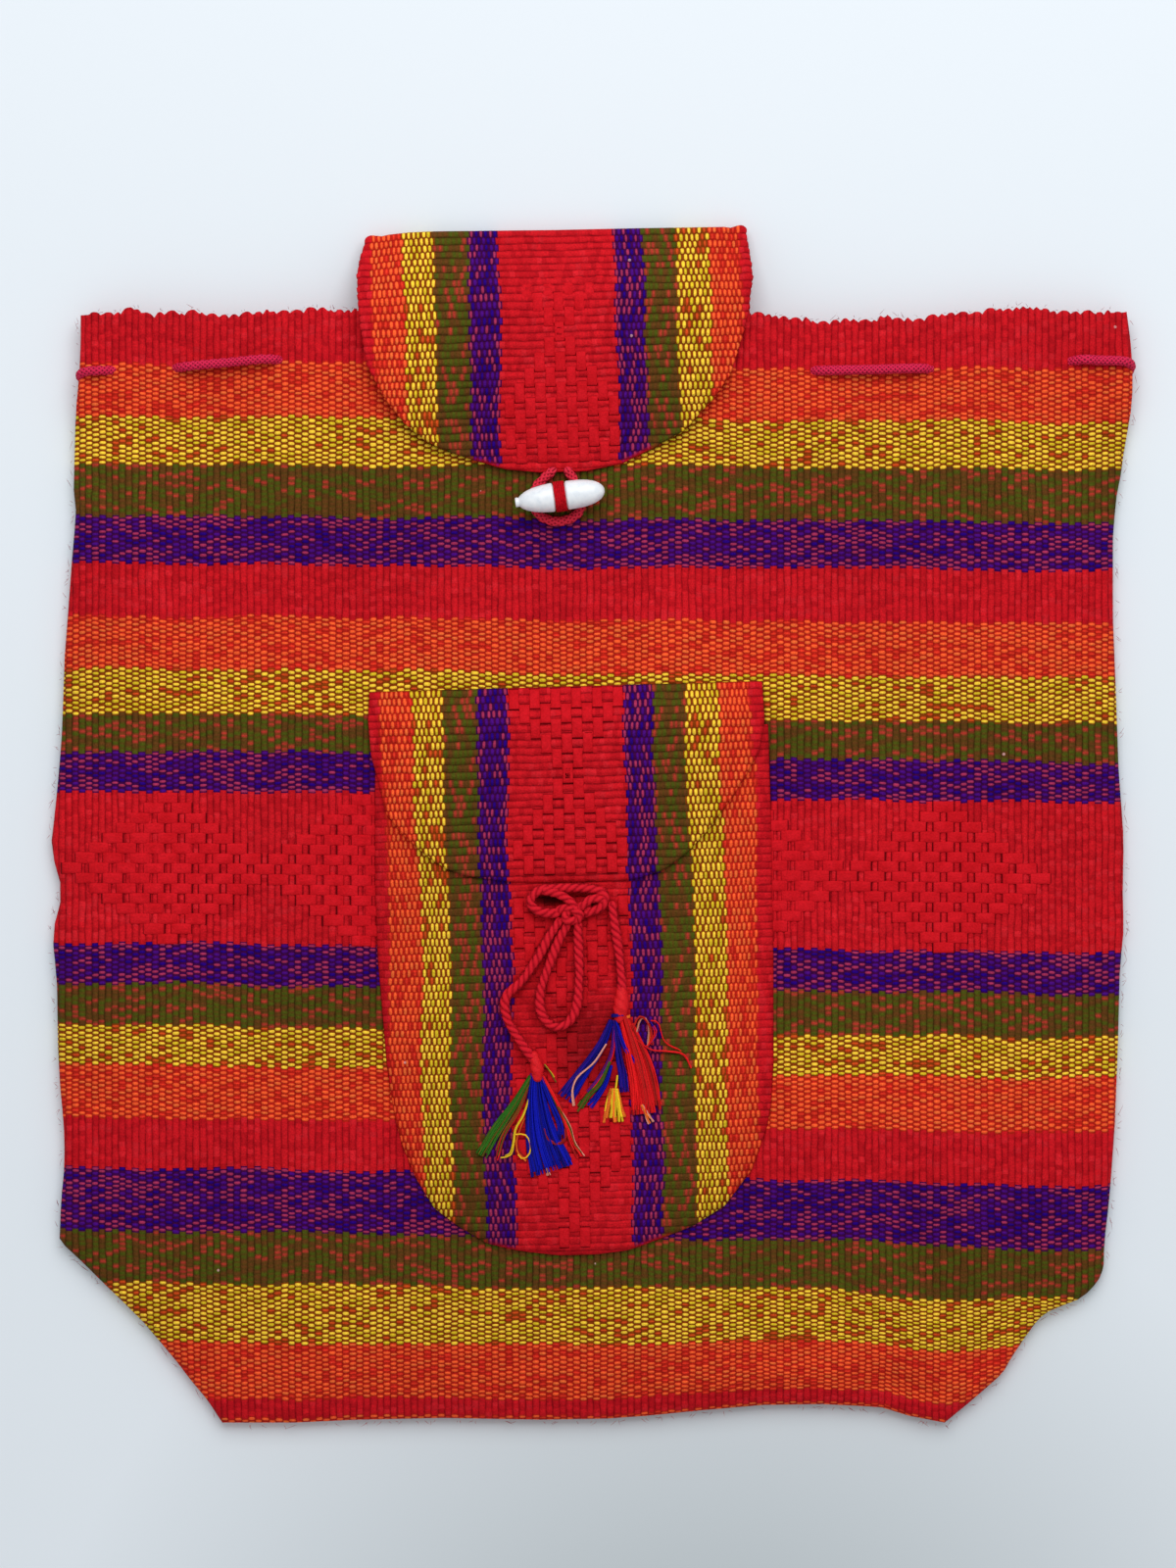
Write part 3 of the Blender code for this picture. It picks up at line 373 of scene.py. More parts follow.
def round_edge(distance, radius):
    """A quarter circle's height, from 0 at an edge to 1 at its radius."""
    return np.sqrt(1 - (1 - np.clip(distance / radius, 0, 1)) ** 2)


def distance_to_line(x, y, line):
    """How far each point lies from an open line."""
    best = np.full(x.shape, np.inf)
    for (ax, ay), (bx, by) in zip(line, line[1:]):
        dx, dy = bx - ax, by - ay
        share = np.clip(((x - ax) * dx + (y - ay) * dy) / (dx * dx + dy * dy + 1e-18), 0, 1)
        best = np.minimum(best, np.hypot(x - ax - share * dx, y - ay - share * dy))
    return best


# %% Tubes for cords and yarn
CAP_ANGLES = np.radians((0, 30, 60, 80))  # rings of a tube's round end


def with_ends(values, count):
    """The values with the first and the last one repeated."""
    return np.concatenate([values[:1].repeat(count, 0), values, values[-1:].repeat(count, 0)])


def tube(path, radius, sides, relief=None, thickness=None):
    """A closed grid round a path, with round ends; relief(around, along) scales its radius."""
    path = np.array(path, float)
    ahead = np.gradient(path, axis=0)
    ahead /= np.linalg.norm(ahead, axis=1)[:, None]
    side = np.cross(ahead[0], (0.0, 0.0, 1.0))
    if np.linalg.norm(side) < 0.1:
        side = np.cross(ahead[0], (0.0, 1.0, 0.0))
    across = []
    for direction in ahead:
        side = side - direction * (side @ direction)
        side /= np.linalg.norm(side)
        across.append(side)
    across = np.array(across)
    run = run_along(path)
    wide = np.full(len(path), radius) if thickness is None else radius * np.array(thickness)
    first = [path[0] - ahead[0] * wide[0] * math.cos(a) for a in CAP_ANGLES]
    last = [path[-1] + ahead[-1] * wide[-1] * math.cos(a) for a in CAP_ANGLES[::-1]]
    path = np.concatenate([first, path, last])
    ahead, across, run = (with_ends(values, len(CAP_ANGLES)) for values in (ahead, across, run))
    rise = np.sin(CAP_ANGLES)
    wide = np.concatenate([wide[0] * rise, wide, wide[-1] * rise[::-1]])
    around = np.linspace(0, FULL_TURN, sides + 1)
    around[-1] = 0.0
    angle, along = np.meshgrid(around, run)
    scale = wide[:, None] * (1.0 if relief is None else relief(angle, along))
    up = np.cross(across, ahead)
    ring = np.cos(angle)[..., None] * across[:, None] + np.sin(angle)[..., None] * up[:, None]
    share = np.linspace(0, 1, sides + 1)
    uv = np.stack(np.broadcast_arrays(share[None, :], run[:, None] / (2 * radius)), -1)
    return {"at": path[:, None] + ring * scale[..., None], "uv": uv}


# %% [markdown]
# ## The weave
# The real cloth is ribbed: thick yarns side by side, crossed by coloured yarns that show as
# short dashes, each row half a dash further than the last. One node group works out, from a
# point's rib and its place along it, which dash it is on, and masks for the dash and for the
# line between ribs, where shade is painted dark. Each cloth then looks its stripe's colours up
# at the dash's middle, so that stripes meet in steps of half a dash, as woven ones do.


# %% The weave's node group
def wander(tree, rib, along, seed, reach, pace=(0.45, 0.14)):
    """A slow drift of the threads to and fro, as a number about zero."""
    across, down = times(tree, rib, pace[0]), times(tree, along, pace[1])
    where = add(tree, "CombineXYZ", across, down, seed).outputs[0]
    drift = noise(tree, where, 1.0, 2.0)
    return times(tree, minus(tree, drift, 0.5), reach)


def dash_masks(tree, across, down, chance):
    """How far a point is outside its dash, whose height differs from dash to dash."""
    tall = plus(tree, times(tree, chance, 0.09), 0.245)
    tall = calc(tree, "POWER", calc(tree, "DIVIDE", calc(tree, "ABSOLUTE", down), tall), 2.0)
    wide = calc(tree, "POWER", calc(tree, "DIVIDE", across, 0.5), 4.0)
    return plus(tree, wide, tall)


def rib_gap_shade(tree, across, rib, along):
    """Painted shade: the dark line beside a rib, which fades and returns along it."""
    where = add(tree, "CombineXYZ", rib, times(tree, along, 0.35), 21.0).outputs[0]
    faint = noise(tree, where, 1.0, 2.0)
    strength = fit(tree, faint, 0.35, 0.62, 0.3, 1.0)
    return times(tree, fit(tree, across, 0.33, 0.46), strength)


def make_weave_group():
    group = bpy.data.node_groups.new("ribbed_weave", "ShaderNodeTree")
    for name in ("Rib", "Along"):
        group.interface.new_socket(name=name, in_out="INPUT", socket_type="NodeSocketFloat")
    for name in ("Middle", "Dash", "Line", "Chance", "Second", "Patch", "Dome", "Round"):
        group.interface.new_socket(name=name, in_out="OUTPUT", socket_type="NodeSocketFloat")
    given = group.nodes.new("NodeGroupInput").outputs
    result = group.nodes.new("NodeGroupOutput")
    place = plus(group, given[0], wander(group, given[0], given[1], 3.0, 0.5))
    rib = calc(group, "FLOOR", place)
    shift = times(group, calc(group, "FLOORED_MODULO", rib, 2.0), 0.5)
    slip = wander(group, given[0], given[1], 9.0, 2.4, (0.07, 0.05))
    along = plus(group, plus(group, given[1], slip), shift)
    cell = calc(group, "FLOOR", along)
    where = add(group, "CombineXYZ", rib, cell).outputs[0]
    dice = add(group, "TexWhiteNoise", where, noise_dimensions="2D")
    chance = dice.outputs["Value"]
    second = add(group, "SeparateColor", dice.outputs["Color"]).outputs[1]
    runs = add(group, "VectorMath", where, (0.04, 0.8, 0.0), operation="MULTIPLY").outputs[0]
    clump = noise(group, runs, 1.0, 2.0)
    across = calc(group, "ABSOLUTE", minus(group, minus(group, place, rib), 0.5))
    uneven = times(group, second, 0.16)
    down = minus(group, minus(group, along, cell), 0.42)
    outside = dash_masks(group, across, minus(group, down, uneven), chance)
    dome = times(group, fit(group, outside, 0.0, 1.3, 1.0, 0.0), 0.7)
    rounded = times(group, times(group, across, across), 2.6)
    for name, value in (
        ("Middle", minus(group, plus(group, cell, 0.5), shift)),
        ("Dash", fit(group, outside, 0.55, 1.25, 1.0, 0.0)),
        ("Line", rib_gap_shade(group, across, rib, along)),
        ("Chance", chance),
        ("Second", second),
        ("Patch", clump),
        ("Dome", dome),
        ("Round", rounded),
    ):
        group.links.new(value, result.inputs[name])
    return group


WEAVE = make_weave_group()
print("weave group of", len(WEAVE.nodes), "nodes")

# %% Yarns of each stripe
# colour of most dashes; colour and share of two other kinds of dash; colour of the ground
# between dashes; how plain the stripe is; colour of the shade painted in the line beside its ribs
YARNS = {
    "red": ((201, 22, 32), (209, 30, 40), 0.10, (193, 18, 29), 0.30, (195, 19, 29), 0.9, (100, 0, 10)),
    "orange": ((255, 96, 46), (232, 54, 34), 0.16, (255, 112, 54), 0.2, (186, 30, 20), 0.0, (134, 18, 8)),
    "yellow": ((255, 211, 60), (214, 78, 28), 0.09, (236, 202, 40), 0.3, (136, 58, 8), 0.0, (96, 38, 4)),
    "green": ((74, 80, 16), (172, 54, 40), 0.24, (102, 61, 24), 0.42, (86, 62, 18), 0.35, (30, 12, 0)),
    "purple": ((72, 10, 122), (168, 49, 90), 0.46, (42, 0, 128), 0.25, (62, 2, 66), 0.0, (36, 0, 48)),
    "strap": ((150, 18, 34), (96, 14, 60), 0.25, (168, 26, 36), 0.3, (118, 12, 28), 0.3, (64, 0, 10)),
    "tape": ((204, 14, 28), (190, 10, 24), 0.2, (214, 22, 34), 0.3, (186, 10, 22), 0.85, (140, 0, 12)),
}
# which entries of a row are colours, and which are shares
COLOUR_COLUMNS = (0, 1, 3, 5, 7)
SHARE_COLUMNS = (2, 4, 6)

print("yarns for", ", ".join(YARNS))


# %% Stripe colours and lint
def set_ramp(tree, value, edges, colours):
    """A ramp that steps from colour to colour at the edges, which run from 0 to 1."""
    ramp = tree.nodes.new("ShaderNodeValToRGB")
    ramp.color_ramp.interpolation = "CONSTANT"
    elements = ramp.color_ramp.elements
    elements.remove(elements[1])
    for place, paint in zip(edges, colours):
        step = elements[0] if place == edges[0] else elements.new(place)
        step.position = place
        step.color = paint
    put(tree, ramp.inputs[0], value)
    return ramp.outputs[0]


def stripe_colours(tree, weave, stripes, length):
    """The stripe's five colours and its three shares, at the middle of a point's dash."""
    edges = np.concatenate([[0], np.cumsum([width for _, width in stripes])[:-1]]) / length
    place = times(tree, weave.outputs["Middle"], DASH / length)
    kinds = [YARNS[kind] for kind, _ in stripes]
    paints = []
    for k in COLOUR_COLUMNS:
        paints.append(set_ramp(tree, place, edges.tolist(), [colour(*kind[k]) for kind in kinds]))
    shares = [(*(kind[k] for k in SHARE_COLUMNS), 1) for kind in kinds]
    split = add(tree, "SeparateColor", set_ramp(tree, place, edges.tolist(), shares))
    return paints, split.outputs


def lint(tree, place, cloth):
    """Here and there a pale speck of fluff."""
    specks = add(tree, "TexVoronoi", place, None, 75.0)
    near = calc(tree, "LESS_THAN", specks.outputs["Distance"], 0.04)
    rare = add(tree, "SeparateColor", specks.outputs["Color"]).outputs[0]
    rare = calc(tree, "LESS_THAN", rare, 0.1)
    share = times(tree, times(tree, near, rare), 0.6)
    return mix(tree, share, cloth, colour(230, 176, 176))


# %% The striped cloth's material
def striped_cloth(name, stripes, length):
    """Cloth whose stripes, as colour and width, follow each other along its ribs."""
    material, tree, shader = new_material(name, gloss=0.06)
    rib, along = weave_place(tree)
    weave = tree.nodes.new("ShaderNodeGroup")
    weave.node_tree = WEAVE
    put(tree, weave.inputs["Rib"], rib)
    put(tree, weave.inputs["Along"], along)
    (main, other, third, ground, dark), share = stripe_colours(tree, weave, stripes, length)
    clump = fit(tree, weave.outputs["Patch"], 0.35, 0.65, 0.3, -0.3)
    chance, second = weave.outputs["Chance"], weave.outputs["Second"]
    is_other = calc(tree, "LESS_THAN", plus(tree, chance, clump), share[0])
    is_third = calc(tree, "LESS_THAN", minus(tree, second, clump), share[1])
    yarn = mix(tree, is_other, mix(tree, is_third, main, third), other)
    cloth = mix(tree, calc(tree, "MAXIMUM", weave.outputs["Dash"], share[2]), ground, yarn)
    # painted shade: the line beside each rib, in its stripe's dark colour, stronger in plain stripes
    line = times(tree, weave.outputs["Line"], fit(tree, share[2], 0.0, 0.35, 0.3, 0.68))
    cloth = mix(tree, line, cloth, dark)
    hem = attribute(tree, "hem")
    cloth = mix(tree, hem, cloth, colour(194, 20, 31))
    place = own_place(tree)
    fibres = noise(tree, place, 1700.0, 4.0)
    wide = noise(tree, place, 14.0, 3.0)
    shade = times(tree, fit(tree, fibres, 0.3, 0.7, 0.76, 1.2), fit(tree, second, 0, 1, 0.88, 1.1))
    shade = times(tree, shade, fit(tree, wide, 0.3, 0.7, 0.93, 1.07))
    # painted shade where the shade attribute marks it: at the yarn's slits and under the bow
    painted_shade = attribute(tree, "shade")
    shade = times(tree, shade, minus(tree, 1.0, painted_shade))
    cloth = lint(tree, place, mix(tree, 1.0, cloth, grey_of(tree, shade), "MULTIPLY"))
    set_paint(tree, shader, cloth)
    dome = times(tree, weave.outputs["Dome"], fit(tree, share[2], 0.0, 0.35, 1.0, 0.12))
    height = minus(tree, dome, weave.outputs["Round"])
    height = plus(tree, height, times(tree, fibres, 0.6))
    set_bump(tree, shader, height, 0.0006, 0.8)
    return material


# %% Stripes of the body and of the turned cloth
BODY_STRIPES = (
    ("red", 0.0174), ("orange", 0.0190), ("yellow", 0.0169), ("green", 0.0181), ("purple", 0.0181),
    ("red", 0.0189), ("orange", 0.0171), ("yellow", 0.0158), ("green", 0.0144), ("purple", 0.0136),
    ("red", 0.0544), ("purple", 0.0144), ("green", 0.0153), ("yellow", 0.0133), ("orange", 0.0195),
    ("red", 0.0182), ("purple", 0.0223), ("green", 0.0185), ("yellow", 0.0215), ("orange", 0.0194),
    ("red", 0.0087), ("orange", 0.0018),
)
TURNED_HALF = 0.0800  # from the turned cloth's first rib end to its middle
TURNED_STRIPES = (
    ("red", TURNED_HALF - 0.0652), ("orange", 0.0105), ("yellow", 0.0115), ("green", 0.0114),
    ("purple", 0.0112), ("red", 0.0412), ("purple", 0.0109), ("green", 0.0115), ("yellow", 0.0115),
    ("orange", 0.0118), ("red", 0.0190),
)
body_cloth = striped_cloth("striped_cloth", BODY_STRIPES, sum(w for _, w in BODY_STRIPES))
turned_cloth = striped_cloth(
    "striped_cloth_turned", TURNED_STRIPES, sum(w for _, w in TURNED_STRIPES)
)
print("stripes:", len(BODY_STRIPES), "on the body,", len(TURNED_STRIPES), "on the flaps")

# %% [markdown]
# ## The body
# One length of cloth is folded at the bottom, sewn up both sides and hemmed at the mouth.
# Nothing on it is straight: the seams wander, the stripes droop to the right, and the lower
# corners are boxed. Tables measured on the photograph hold these. Ribs stay upright, so a
# row of points is cut off where it meets a seam.

# %% What was measured on the photograph, in millimetres
LEFT_SEAM = (
    (0, -183.3), (10, -183.3), (20, -183.7), (28, -184.4), (38, -185.4), (52, -185.8),
    (63, -186.1), (72, -185.1), (80, -186.1), (108, -188.2), (122, -189.3), (150, -190.3),
    (164, -191.4), (178, -192.8), (190, -194.2), (199, -192.4), (206, -190.0), (213, -191.4),
    (221, -193.8), (229, -193.1), (238, -192.1), (262, -191.7), (276, -191.0), (290, -189.6),
    (304, -189.3), (318, -190.7), (328, -191.0), (331.5, -191.2), (339.5, -182.6),
    (346.5, -175.6), (353.5, -168.3), (360.5, -161.3), (367.5, -155.3), (374.5, -149.4),
    (381.5, -144.1), (388.5, -138.2), (396.6, -132.9),
)
RIGHT_SEAM = (
    (0, 190.5), (10, 191.9), (20, 192.6), (28, 192.6), (38, 191.9), (45, 190.5),
    (52, 189.4), (60, 188.4), (66, 187.0), (80, 185.9), (108, 185.9), (136, 187.0),
    (164, 188.0), (178, 189.1), (189, 189.8), (206, 189.4), (220, 189.8), (234, 188.4),
    (262, 187.7), (290, 186.6), (304, 185.6), (318, 184.5), (332, 182.8), (341.2, 182.6),
    (345.8, 180.7), (349.6, 177.5), (352.4, 173.7), (354.2, 169.5), (355.9, 164.2),
    (359.4, 159.3), (367.1, 153.7), (373.4, 149.5), (379, 146.4), (388.5, 135.5),
    (396.6, 125.7),
)
STATIONS = (-183, 85, 124, 156, 183)
# distance below the mouth at the left seam, and how much lower each station runs
DROOP = (
    (0, 0, 0, 0, 0),
    (18, 0, 1.0, 1.3, 1.4),
    (37, 0, 1.4, 1.7, 2.1),
    (110, 0, 1.7, 2.1, 2.4),
    (142, 0, 2.5, 3.1, 3.5),
    (163, 0, 3.2, 3.9, 4.3),
    (225, 0, 2.5, 2.8, 3.5),
    (287, 0, 3.9, 4.6, 5.2),
    (305, 0, 4.2, 5.3, 6.6),
    (326, 0, 3.5, 5.3, 7.0),
    (345, 0, 2.5, 6.3, 6.0),
    (368, 0, 1.9, 3.5, 1.0),
    (387, 0, 2.1, 2.4, 0.0),
    (397, 0, 0.0, 0.0, 0.0),
)
BOTTOM_LIFT = (
    (-133, 0), (-107, 0), (-86, 1.0), (-54, 1.7), (-19, 1.1), (5, 1.5), (19, 2.5),
    (40, 4.6), (61, 6.4), (82, 6.7), (103, 5.6), (113, 2.5), (126, 0),
)
MOUTH_EDGE = (
    (-190, 0), (-177, 0), (-170, 0.7), (-164, 2.1), (-157, 0), (-142, 0.7), (-128, -0.3),
    (-107, 1.4), (-86, 1.2), (57, 0.3), (68, -1.0), (78, -2.4), (96, -2.8), (105, -1.0),
    (113, -1.8), (124, -0.7), (134, 0.3), (145, 1.8), (155, 2.4), (166, 0.7), (192, 0.7),
)
# each fold's or dent's middle across and down, half length, half width, turn in degrees and
# height
FOLDS = (
    (120, 120, 60, 6, 75, 0.9), (128, 200, 45, 5, 85, -0.8), (98, 335, 34, 9, 70, 2.2),
    (118, 338, 30, 5, 72, -2.3), (136, 330, 30, 7, 66, 2.1), (112, 384, 14, 4, 12, -1.8),
    (60, 380, 34, 5, -4, 1.2), (150, 300, 34, 9, 20, 1.5), (-150, 250, 60, 12, 80, 0.9),
    (-120, 345, 36, 8, 40, 1.0), (-100, 60, 60, 12, 10, 0.7), (170, 40, 34, 9, 80, -1.4),
    (155, 70, 60, 10, 60, 1.1), (-165, 205, 24, 9, 0, 1.0), (120, 262, 40, 9, 100, 1.2),
)
print("measured:", len(LEFT_SEAM) + len(RIGHT_SEAM), "places on the seams,", len(FOLDS), "folds and dents")


# %% Reading the tables
def table(rows, at):
    """The measured table's value at each place, in metres."""
    rows = np.array(rows, float) / 1000
    return np.interp(at, rows[:, 0], rows[:, 1])


# %% Where the cloth droops
LIFT_FROM = 0.345  # below the mouth, where the bottom's lift begins


def body_drop(x, along):
    """How far below the mouth a point of the cloth lies, from its place along the ribs."""
    rows = np.array(DROOP, float) / 1000
    lower = np.zeros(np.broadcast(x, along).shape)
    stations = np.array(STATIONS[:4]) / 1000
    columns = [np.interp(along, rows[:, 0], rows[:, k]) for k in range(1, 5)]
    for a, b, one, two in zip(stations, stations[1:], columns, columns[1:]):
        lower = lower + blended((x - a) / (b - a)) * (two - one)
    lift = np.clip((along - LIFT_FROM) / (BODY_LENGTH - LIFT_FROM), 0, 1)
    return along + lower - table(BOTTOM_LIFT, x) * lift


# %% Where the seams run
def seam_at(seam, along, inset=0.0):
    """Where a seam cuts the rows, found by a few rounds, as the rows droop."""
    side = math.copysign(1.0, seam[0][1])
    x = np.full(np.shape(along), side * 0.19)
    for _ in range(12):
        x = 0.5 * x + 0.5 * (table(seam, body_drop(x, along)) - side * inset)
    return x


# %% Rows of points between two seams
BAND = np.array((0.0, 0.12, 0.35, 0.65, 1.0))  # close points beside a seam
WAVES = 14
WAVE_HEIGHT = 0.10  # millimetres
WAVE_TURN = 6283  # radians in a metre, for a wave of one millimetre


def cut_rows(columns, left, right, band):
    """Places across for each row: the columns, cut off at both seams, with close edges."""
    slope = np.hypot(1, np.gradient(left) / 0.003)
    slope_right = np.hypot(1, np.gradient(right) / 0.003)
    near = left[:, None] + BAND * (band * np.clip(slope, 1, 2.5))[:, None]
    far = right[:, None] - BAND[::-1] * (band * np.clip(slope_right, 1, 2.5))[:, None]
    middle = np.clip(columns[None, :], near[:, -1:], far[:, :1])
    return np.concatenate([near, middle, far], 1)


def fold_height(x, drop):
    """The cloth's gentle waves and its few clear folds."""
    waves = np.random.default_rng(4)
    height = np.zeros(x.shape)
    for _ in range(WAVES):
        turn, size, phase = waves.uniform(0, math.pi), waves.uniform(45, 150), waves.uniform(0, 6.3)
        way = x * math.cos(turn) + drop * math.sin(turn)
        height += WAVE_HEIGHT * np.sin(way * WAVE_TURN / size + phase)
    for mx, my, long, wide, turn, lift in FOLDS:
        dx, dy = x * 1000 - mx, drop * 1000 - my
        a = math.radians(turn)
        u = (dx * math.cos(a) + dy * math.sin(a)) / long
        v = (dy * math.cos(a) - dx * math.sin(a)) / wide
        height += lift * np.exp(-u * u - v * v)
    return height / 1000


# %% Heights of the front and the back
SEAM_HEIGHT = 0.0030  # between the middles of a seam's two cloths
SEAM_ROUND = 0.0026  # how far in from a seam its edge is rounded
EDGE_REST = 0.0005  # the seams' undersides above the surface
FRONT_SLOPE = 0.040  # how far in from the seams the front reaches its full height
BACK_SLOPE = 0.024  # the same for the back
LIFT_END = 0.045  # below the mouth, where the raised upper corners end


def body_edge():
    """The seams and the bottom fold as one line of points, in the bag's coordinates."""
    along = np.linspace(0, BODY_LENGTH, 110)
    left, right = seam_at(LEFT_SEAM, along), seam_at(RIGHT_SEAM, along)
    across = np.linspace(left[-1], right[-1], 40)
    down = np.stack([left, -body_drop(left, along)], 1)
    level = np.stack([across, -body_drop(across, np.full(40, BODY_LENGTH))], 1)
    up = np.stack([right, -body_drop(right, along)], 1)[::-1]
    return np.concatenate([down, level, up])


BODY_EDGE = body_edge()


def seam_lift(y):
    """Height of the seams' lower cloth: raised near the mouth, where the cord lies under it."""
    raised = blended((LIFT_END + y) / (LIFT_END - CORD_BACK_DROP))
    return CLOTH / 2 + EDGE_REST + (BACK_LIFT - EDGE_REST) * raised, raised


def front_surface(x, y, distance=None):
    """Top of the front's cloth, without its ribs."""
    distance = distance_to_line(x, y, BODY_EDGE) if distance is None else distance
    low, _ = seam_lift(y)
    edge = low + SEAM_HEIGHT
    full = edge + CLOTH / 2 + (FRONT_TOP - edge - CLOTH / 2) * eased(distance / FRONT_SLOPE)
    full = full + fold_height(x, -y) * np.clip(distance / 0.012, 0, 1)
    middle = low + SEAM_HEIGHT / 2
    return middle + (full - middle) * round_edge(distance, SEAM_ROUND)


def back_surface(y, distance):
    """Underside of the back's cloth."""
    low, raised = seam_lift(y)
    lifted = np.maximum(eased(distance / BACK_SLOPE), raised)
    full = EDGE_REST + (BACK_LIFT - EDGE_REST) * lifted
    middle = low + SEAM_HEIGHT / 2
    return middle - (middle - full) * round_edge(distance, SEAM_ROUND)


# %% The body's cloth
# places of its rows along the cloth, in millimetres
HEM_ROWS = (0, 0.25, 0.7, 1.3, 2.2, 3.5, 5.5, 8, 11, 14, 16.5, 18.5, 20, 21.5, 24, 27)
FOLD_ROWS = (394.0, 394.9, 395.7, 396.2, 396.5, 396.6)
INNER_ROWS = (0, 0.25, 0.7, 1.3, 5, 20, 60, 110, 160, 210, 260, 310, 335, 360, 380, 391, 393.6)
INNER_INSET = 0.0024  # from a seam to the cloth's inside
RIM_ROUND = 0.0013  # how far below the mouth its rim is rounded
MOUTH_FADE = 0.012  # how far below the mouth its waves reach
KNOB_FADE = 0.0035  # the same for its knobs
KNOB_WIDTHS = (1.0, 1.0, 2.0, 2.0, 1.5)  # in ribs
KNOB_DROP = 0.0015  # from a knob's middle to its sides
MOUTH_REACH = 0.2  # how far the knobs run to either side
RIB_DEPTH = 0.00042  # of the line beside a rib
FIRST_RIB, LAST_RIB = -0.1984, 0.1960  # across, past both seams


def mouth_knobs(x):
    """The hem's rib ends: rope-like knobs, each one to two ribs wide."""
    dice = np.random.default_rng(11)
    edges = [-MOUTH_REACH]
    while edges[-1] < MOUTH_REACH:
        edges.append(edges[-1] + RIB * dice.choice(KNOB_WIDTHS))
    edges = np.array(edges)
    offsets = dice.uniform(-0.0006, 0.0007, len(edges))
    which = np.clip(np.searchsorted(edges, x) - 1, 0, len(edges) - 2)
    share = (x - edges[which]) / (edges[which + 1] - edges[which])
    return offsets[which] - KNOB_DROP * np.abs(2 * share - 1) ** 2.5


def rib_columns():
    """Three columns to each rib: the line beside it, and its two shoulders."""
    dice = np.random.default_rng(2)
    count = int((LAST_RIB - FIRST_RIB) / RIB)
    columns = FIRST_RIB + RIB * (np.arange(count)[:, None] + RIB_POINTS)
    low = np.tile((-RIB_DEPTH, 0.0, 0.0), (count, 1)) + dice.normal(0, 0.00004, (count, 3))
    return columns.ravel(), low.ravel()


# %% The body's four layers
def outer_rows():
    """Rows of the outside, closer at the hem, at the boxed corners and at the bottom fold."""
    plain, corners = np.arange(33, 326, 7.4), np.arange(328, 393.5, 2.7)
    return np.concatenate([HEM_ROWS, plain, corners, FOLD_ROWS]) / 1000


def seam_distance(x, drop, inset):
    """How far points lie from the seams: the inset at a layer's border, and more within it."""
    distance = distance_to_line(x, -drop, BODY_EDGE)
    distance[1:-1, 1:-1] = np.maximum(distance[1:-1, 1:-1], inset + 0.0001)
    distance[:, [0, -1]] = inset
    distance[-1] = inset
    distance[0, [0, -1]] = 0.0
    return distance


def near_edge(distance):
    """Lets the relief of the ribs die out at a piece's edge."""
    return np.clip(distance / 0.002, 0, 1)


def body_layers():
    """Outside and inside of front and back, as four grids that meet at rim and seams."""
    columns, low = rib_columns()
    grids = []
    rim_x = None
    for outside in (True, False):
        along = outer_rows() if outside else np.array(INNER_ROWS) / 1000
        inset = 0.0 if outside else INNER_INSET
        left, right = seam_at(LEFT_SEAM, along, inset), seam_at(RIGHT_SEAM, along, inset)
        x = cut_rows(columns, left, right, SEAM_ROUND)
        rim_x = x[0] if outside else rim_x
        x[0] = rim_x
        s = np.repeat(along[:, None], x.shape[1], 1)
        drop = body_drop(x, s)
        waves = table(MOUTH_EDGE, x) * np.exp(-drop / MOUTH_FADE)
        drop = drop - waves - mouth_knobs(x) * np.exp(-drop / KNOB_FADE)
        distance = seam_distance(x, drop, inset)
        relief = np.interp(x, columns, low) * near_edge(distance)
        rim = round_edge(s, RIM_ROUND)
        front = front_surface(x, -drop, distance)
        back = back_surface(-drop, distance)
        half = CLOTH / 2 * round_edge(distance, SEAM_ROUND)
        uv = np.stack([(x - FIRST_RIB) / RIB, s / DASH], -1)
        hem_mask = np.zeros(x.shape)
        for z, up in ((front, 1), (back, -1)):
            centre = z - up * half
            if outside:
                height = centre + up * (half * rim + relief * rim)
            else:
                inner_round = round_edge(distance - inset, 0.0012)
                middle = (front + back) / 2
                height = middle + (centre - up * half * rim - middle) * inner_round
                height[0] = centre[0]
            at = np.stack([x, -drop, np.maximum(height, 0.0)], -1) + BAG
            grids.append({"at": at, "uv": uv, "hem": hem_mask})
    return grids


bag_cloth = build("bag_cloth", body_layers(), body_cloth)
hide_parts("bag_body")

# %% [markdown]
# ## The flap, the pouch and the pocket's flap
# The same cloth, turned a quarter turn: ribs run across and stripes along. Each piece is a
# tongue with rolled red edges. The flap is sewn to the back, bends over the mouth and lies
# on the front. The pouch is sewn down with a little room in it, and its own flap covers its
# mouth.


# %% Shared rule for the three tongues
TURNED_COLUMNS = np.arange(-0.072, 0.0735, 0.0024)
TIP_ROWS = np.array((0.0024, 0.0016, 0.0009, 0.0004, 0.0001, 0.0))  # from the tip
TURNED_RIB_DEPTH = 0.00045
TURNED_BAND = 0.0030  # width of the close columns beside each side
FIRST_TURNED_RIB = 40  # keeps the numbers of the ribs above zero
LEAN_FROM = 0.06  # where a leaning stripe stands at its measured place
STRIPE_SHIFT = 0.0008  # of the two flaps' stripes, across
HEM_WIDTH = 0.0009
HEM_REACH = 0.034  # how far the red hem runs from a tongue's middle


def turned_frame(x, y, turn):
    """From a tongue's own coordinates to the world."""
    a = math.radians(turn)
    cos, sin = math.cos(a), math.sin(a)

    def place(across, up):
        return x + across * cos - up * sin, y + across * sin + up * cos

    return place


def tongue_rows(length, start=0.0):
    """Three rows to each rib, with close rows at the tip."""
    ribs = np.arange(start, length - 0.0030, TURNED_RIB)
    rows = (ribs[:, None] + TURNED_RIB * RIB_POINTS).ravel()
    rows = rows[rows < length - 0.0026]
    return np.concatenate([rows, length - TIP_ROWS])


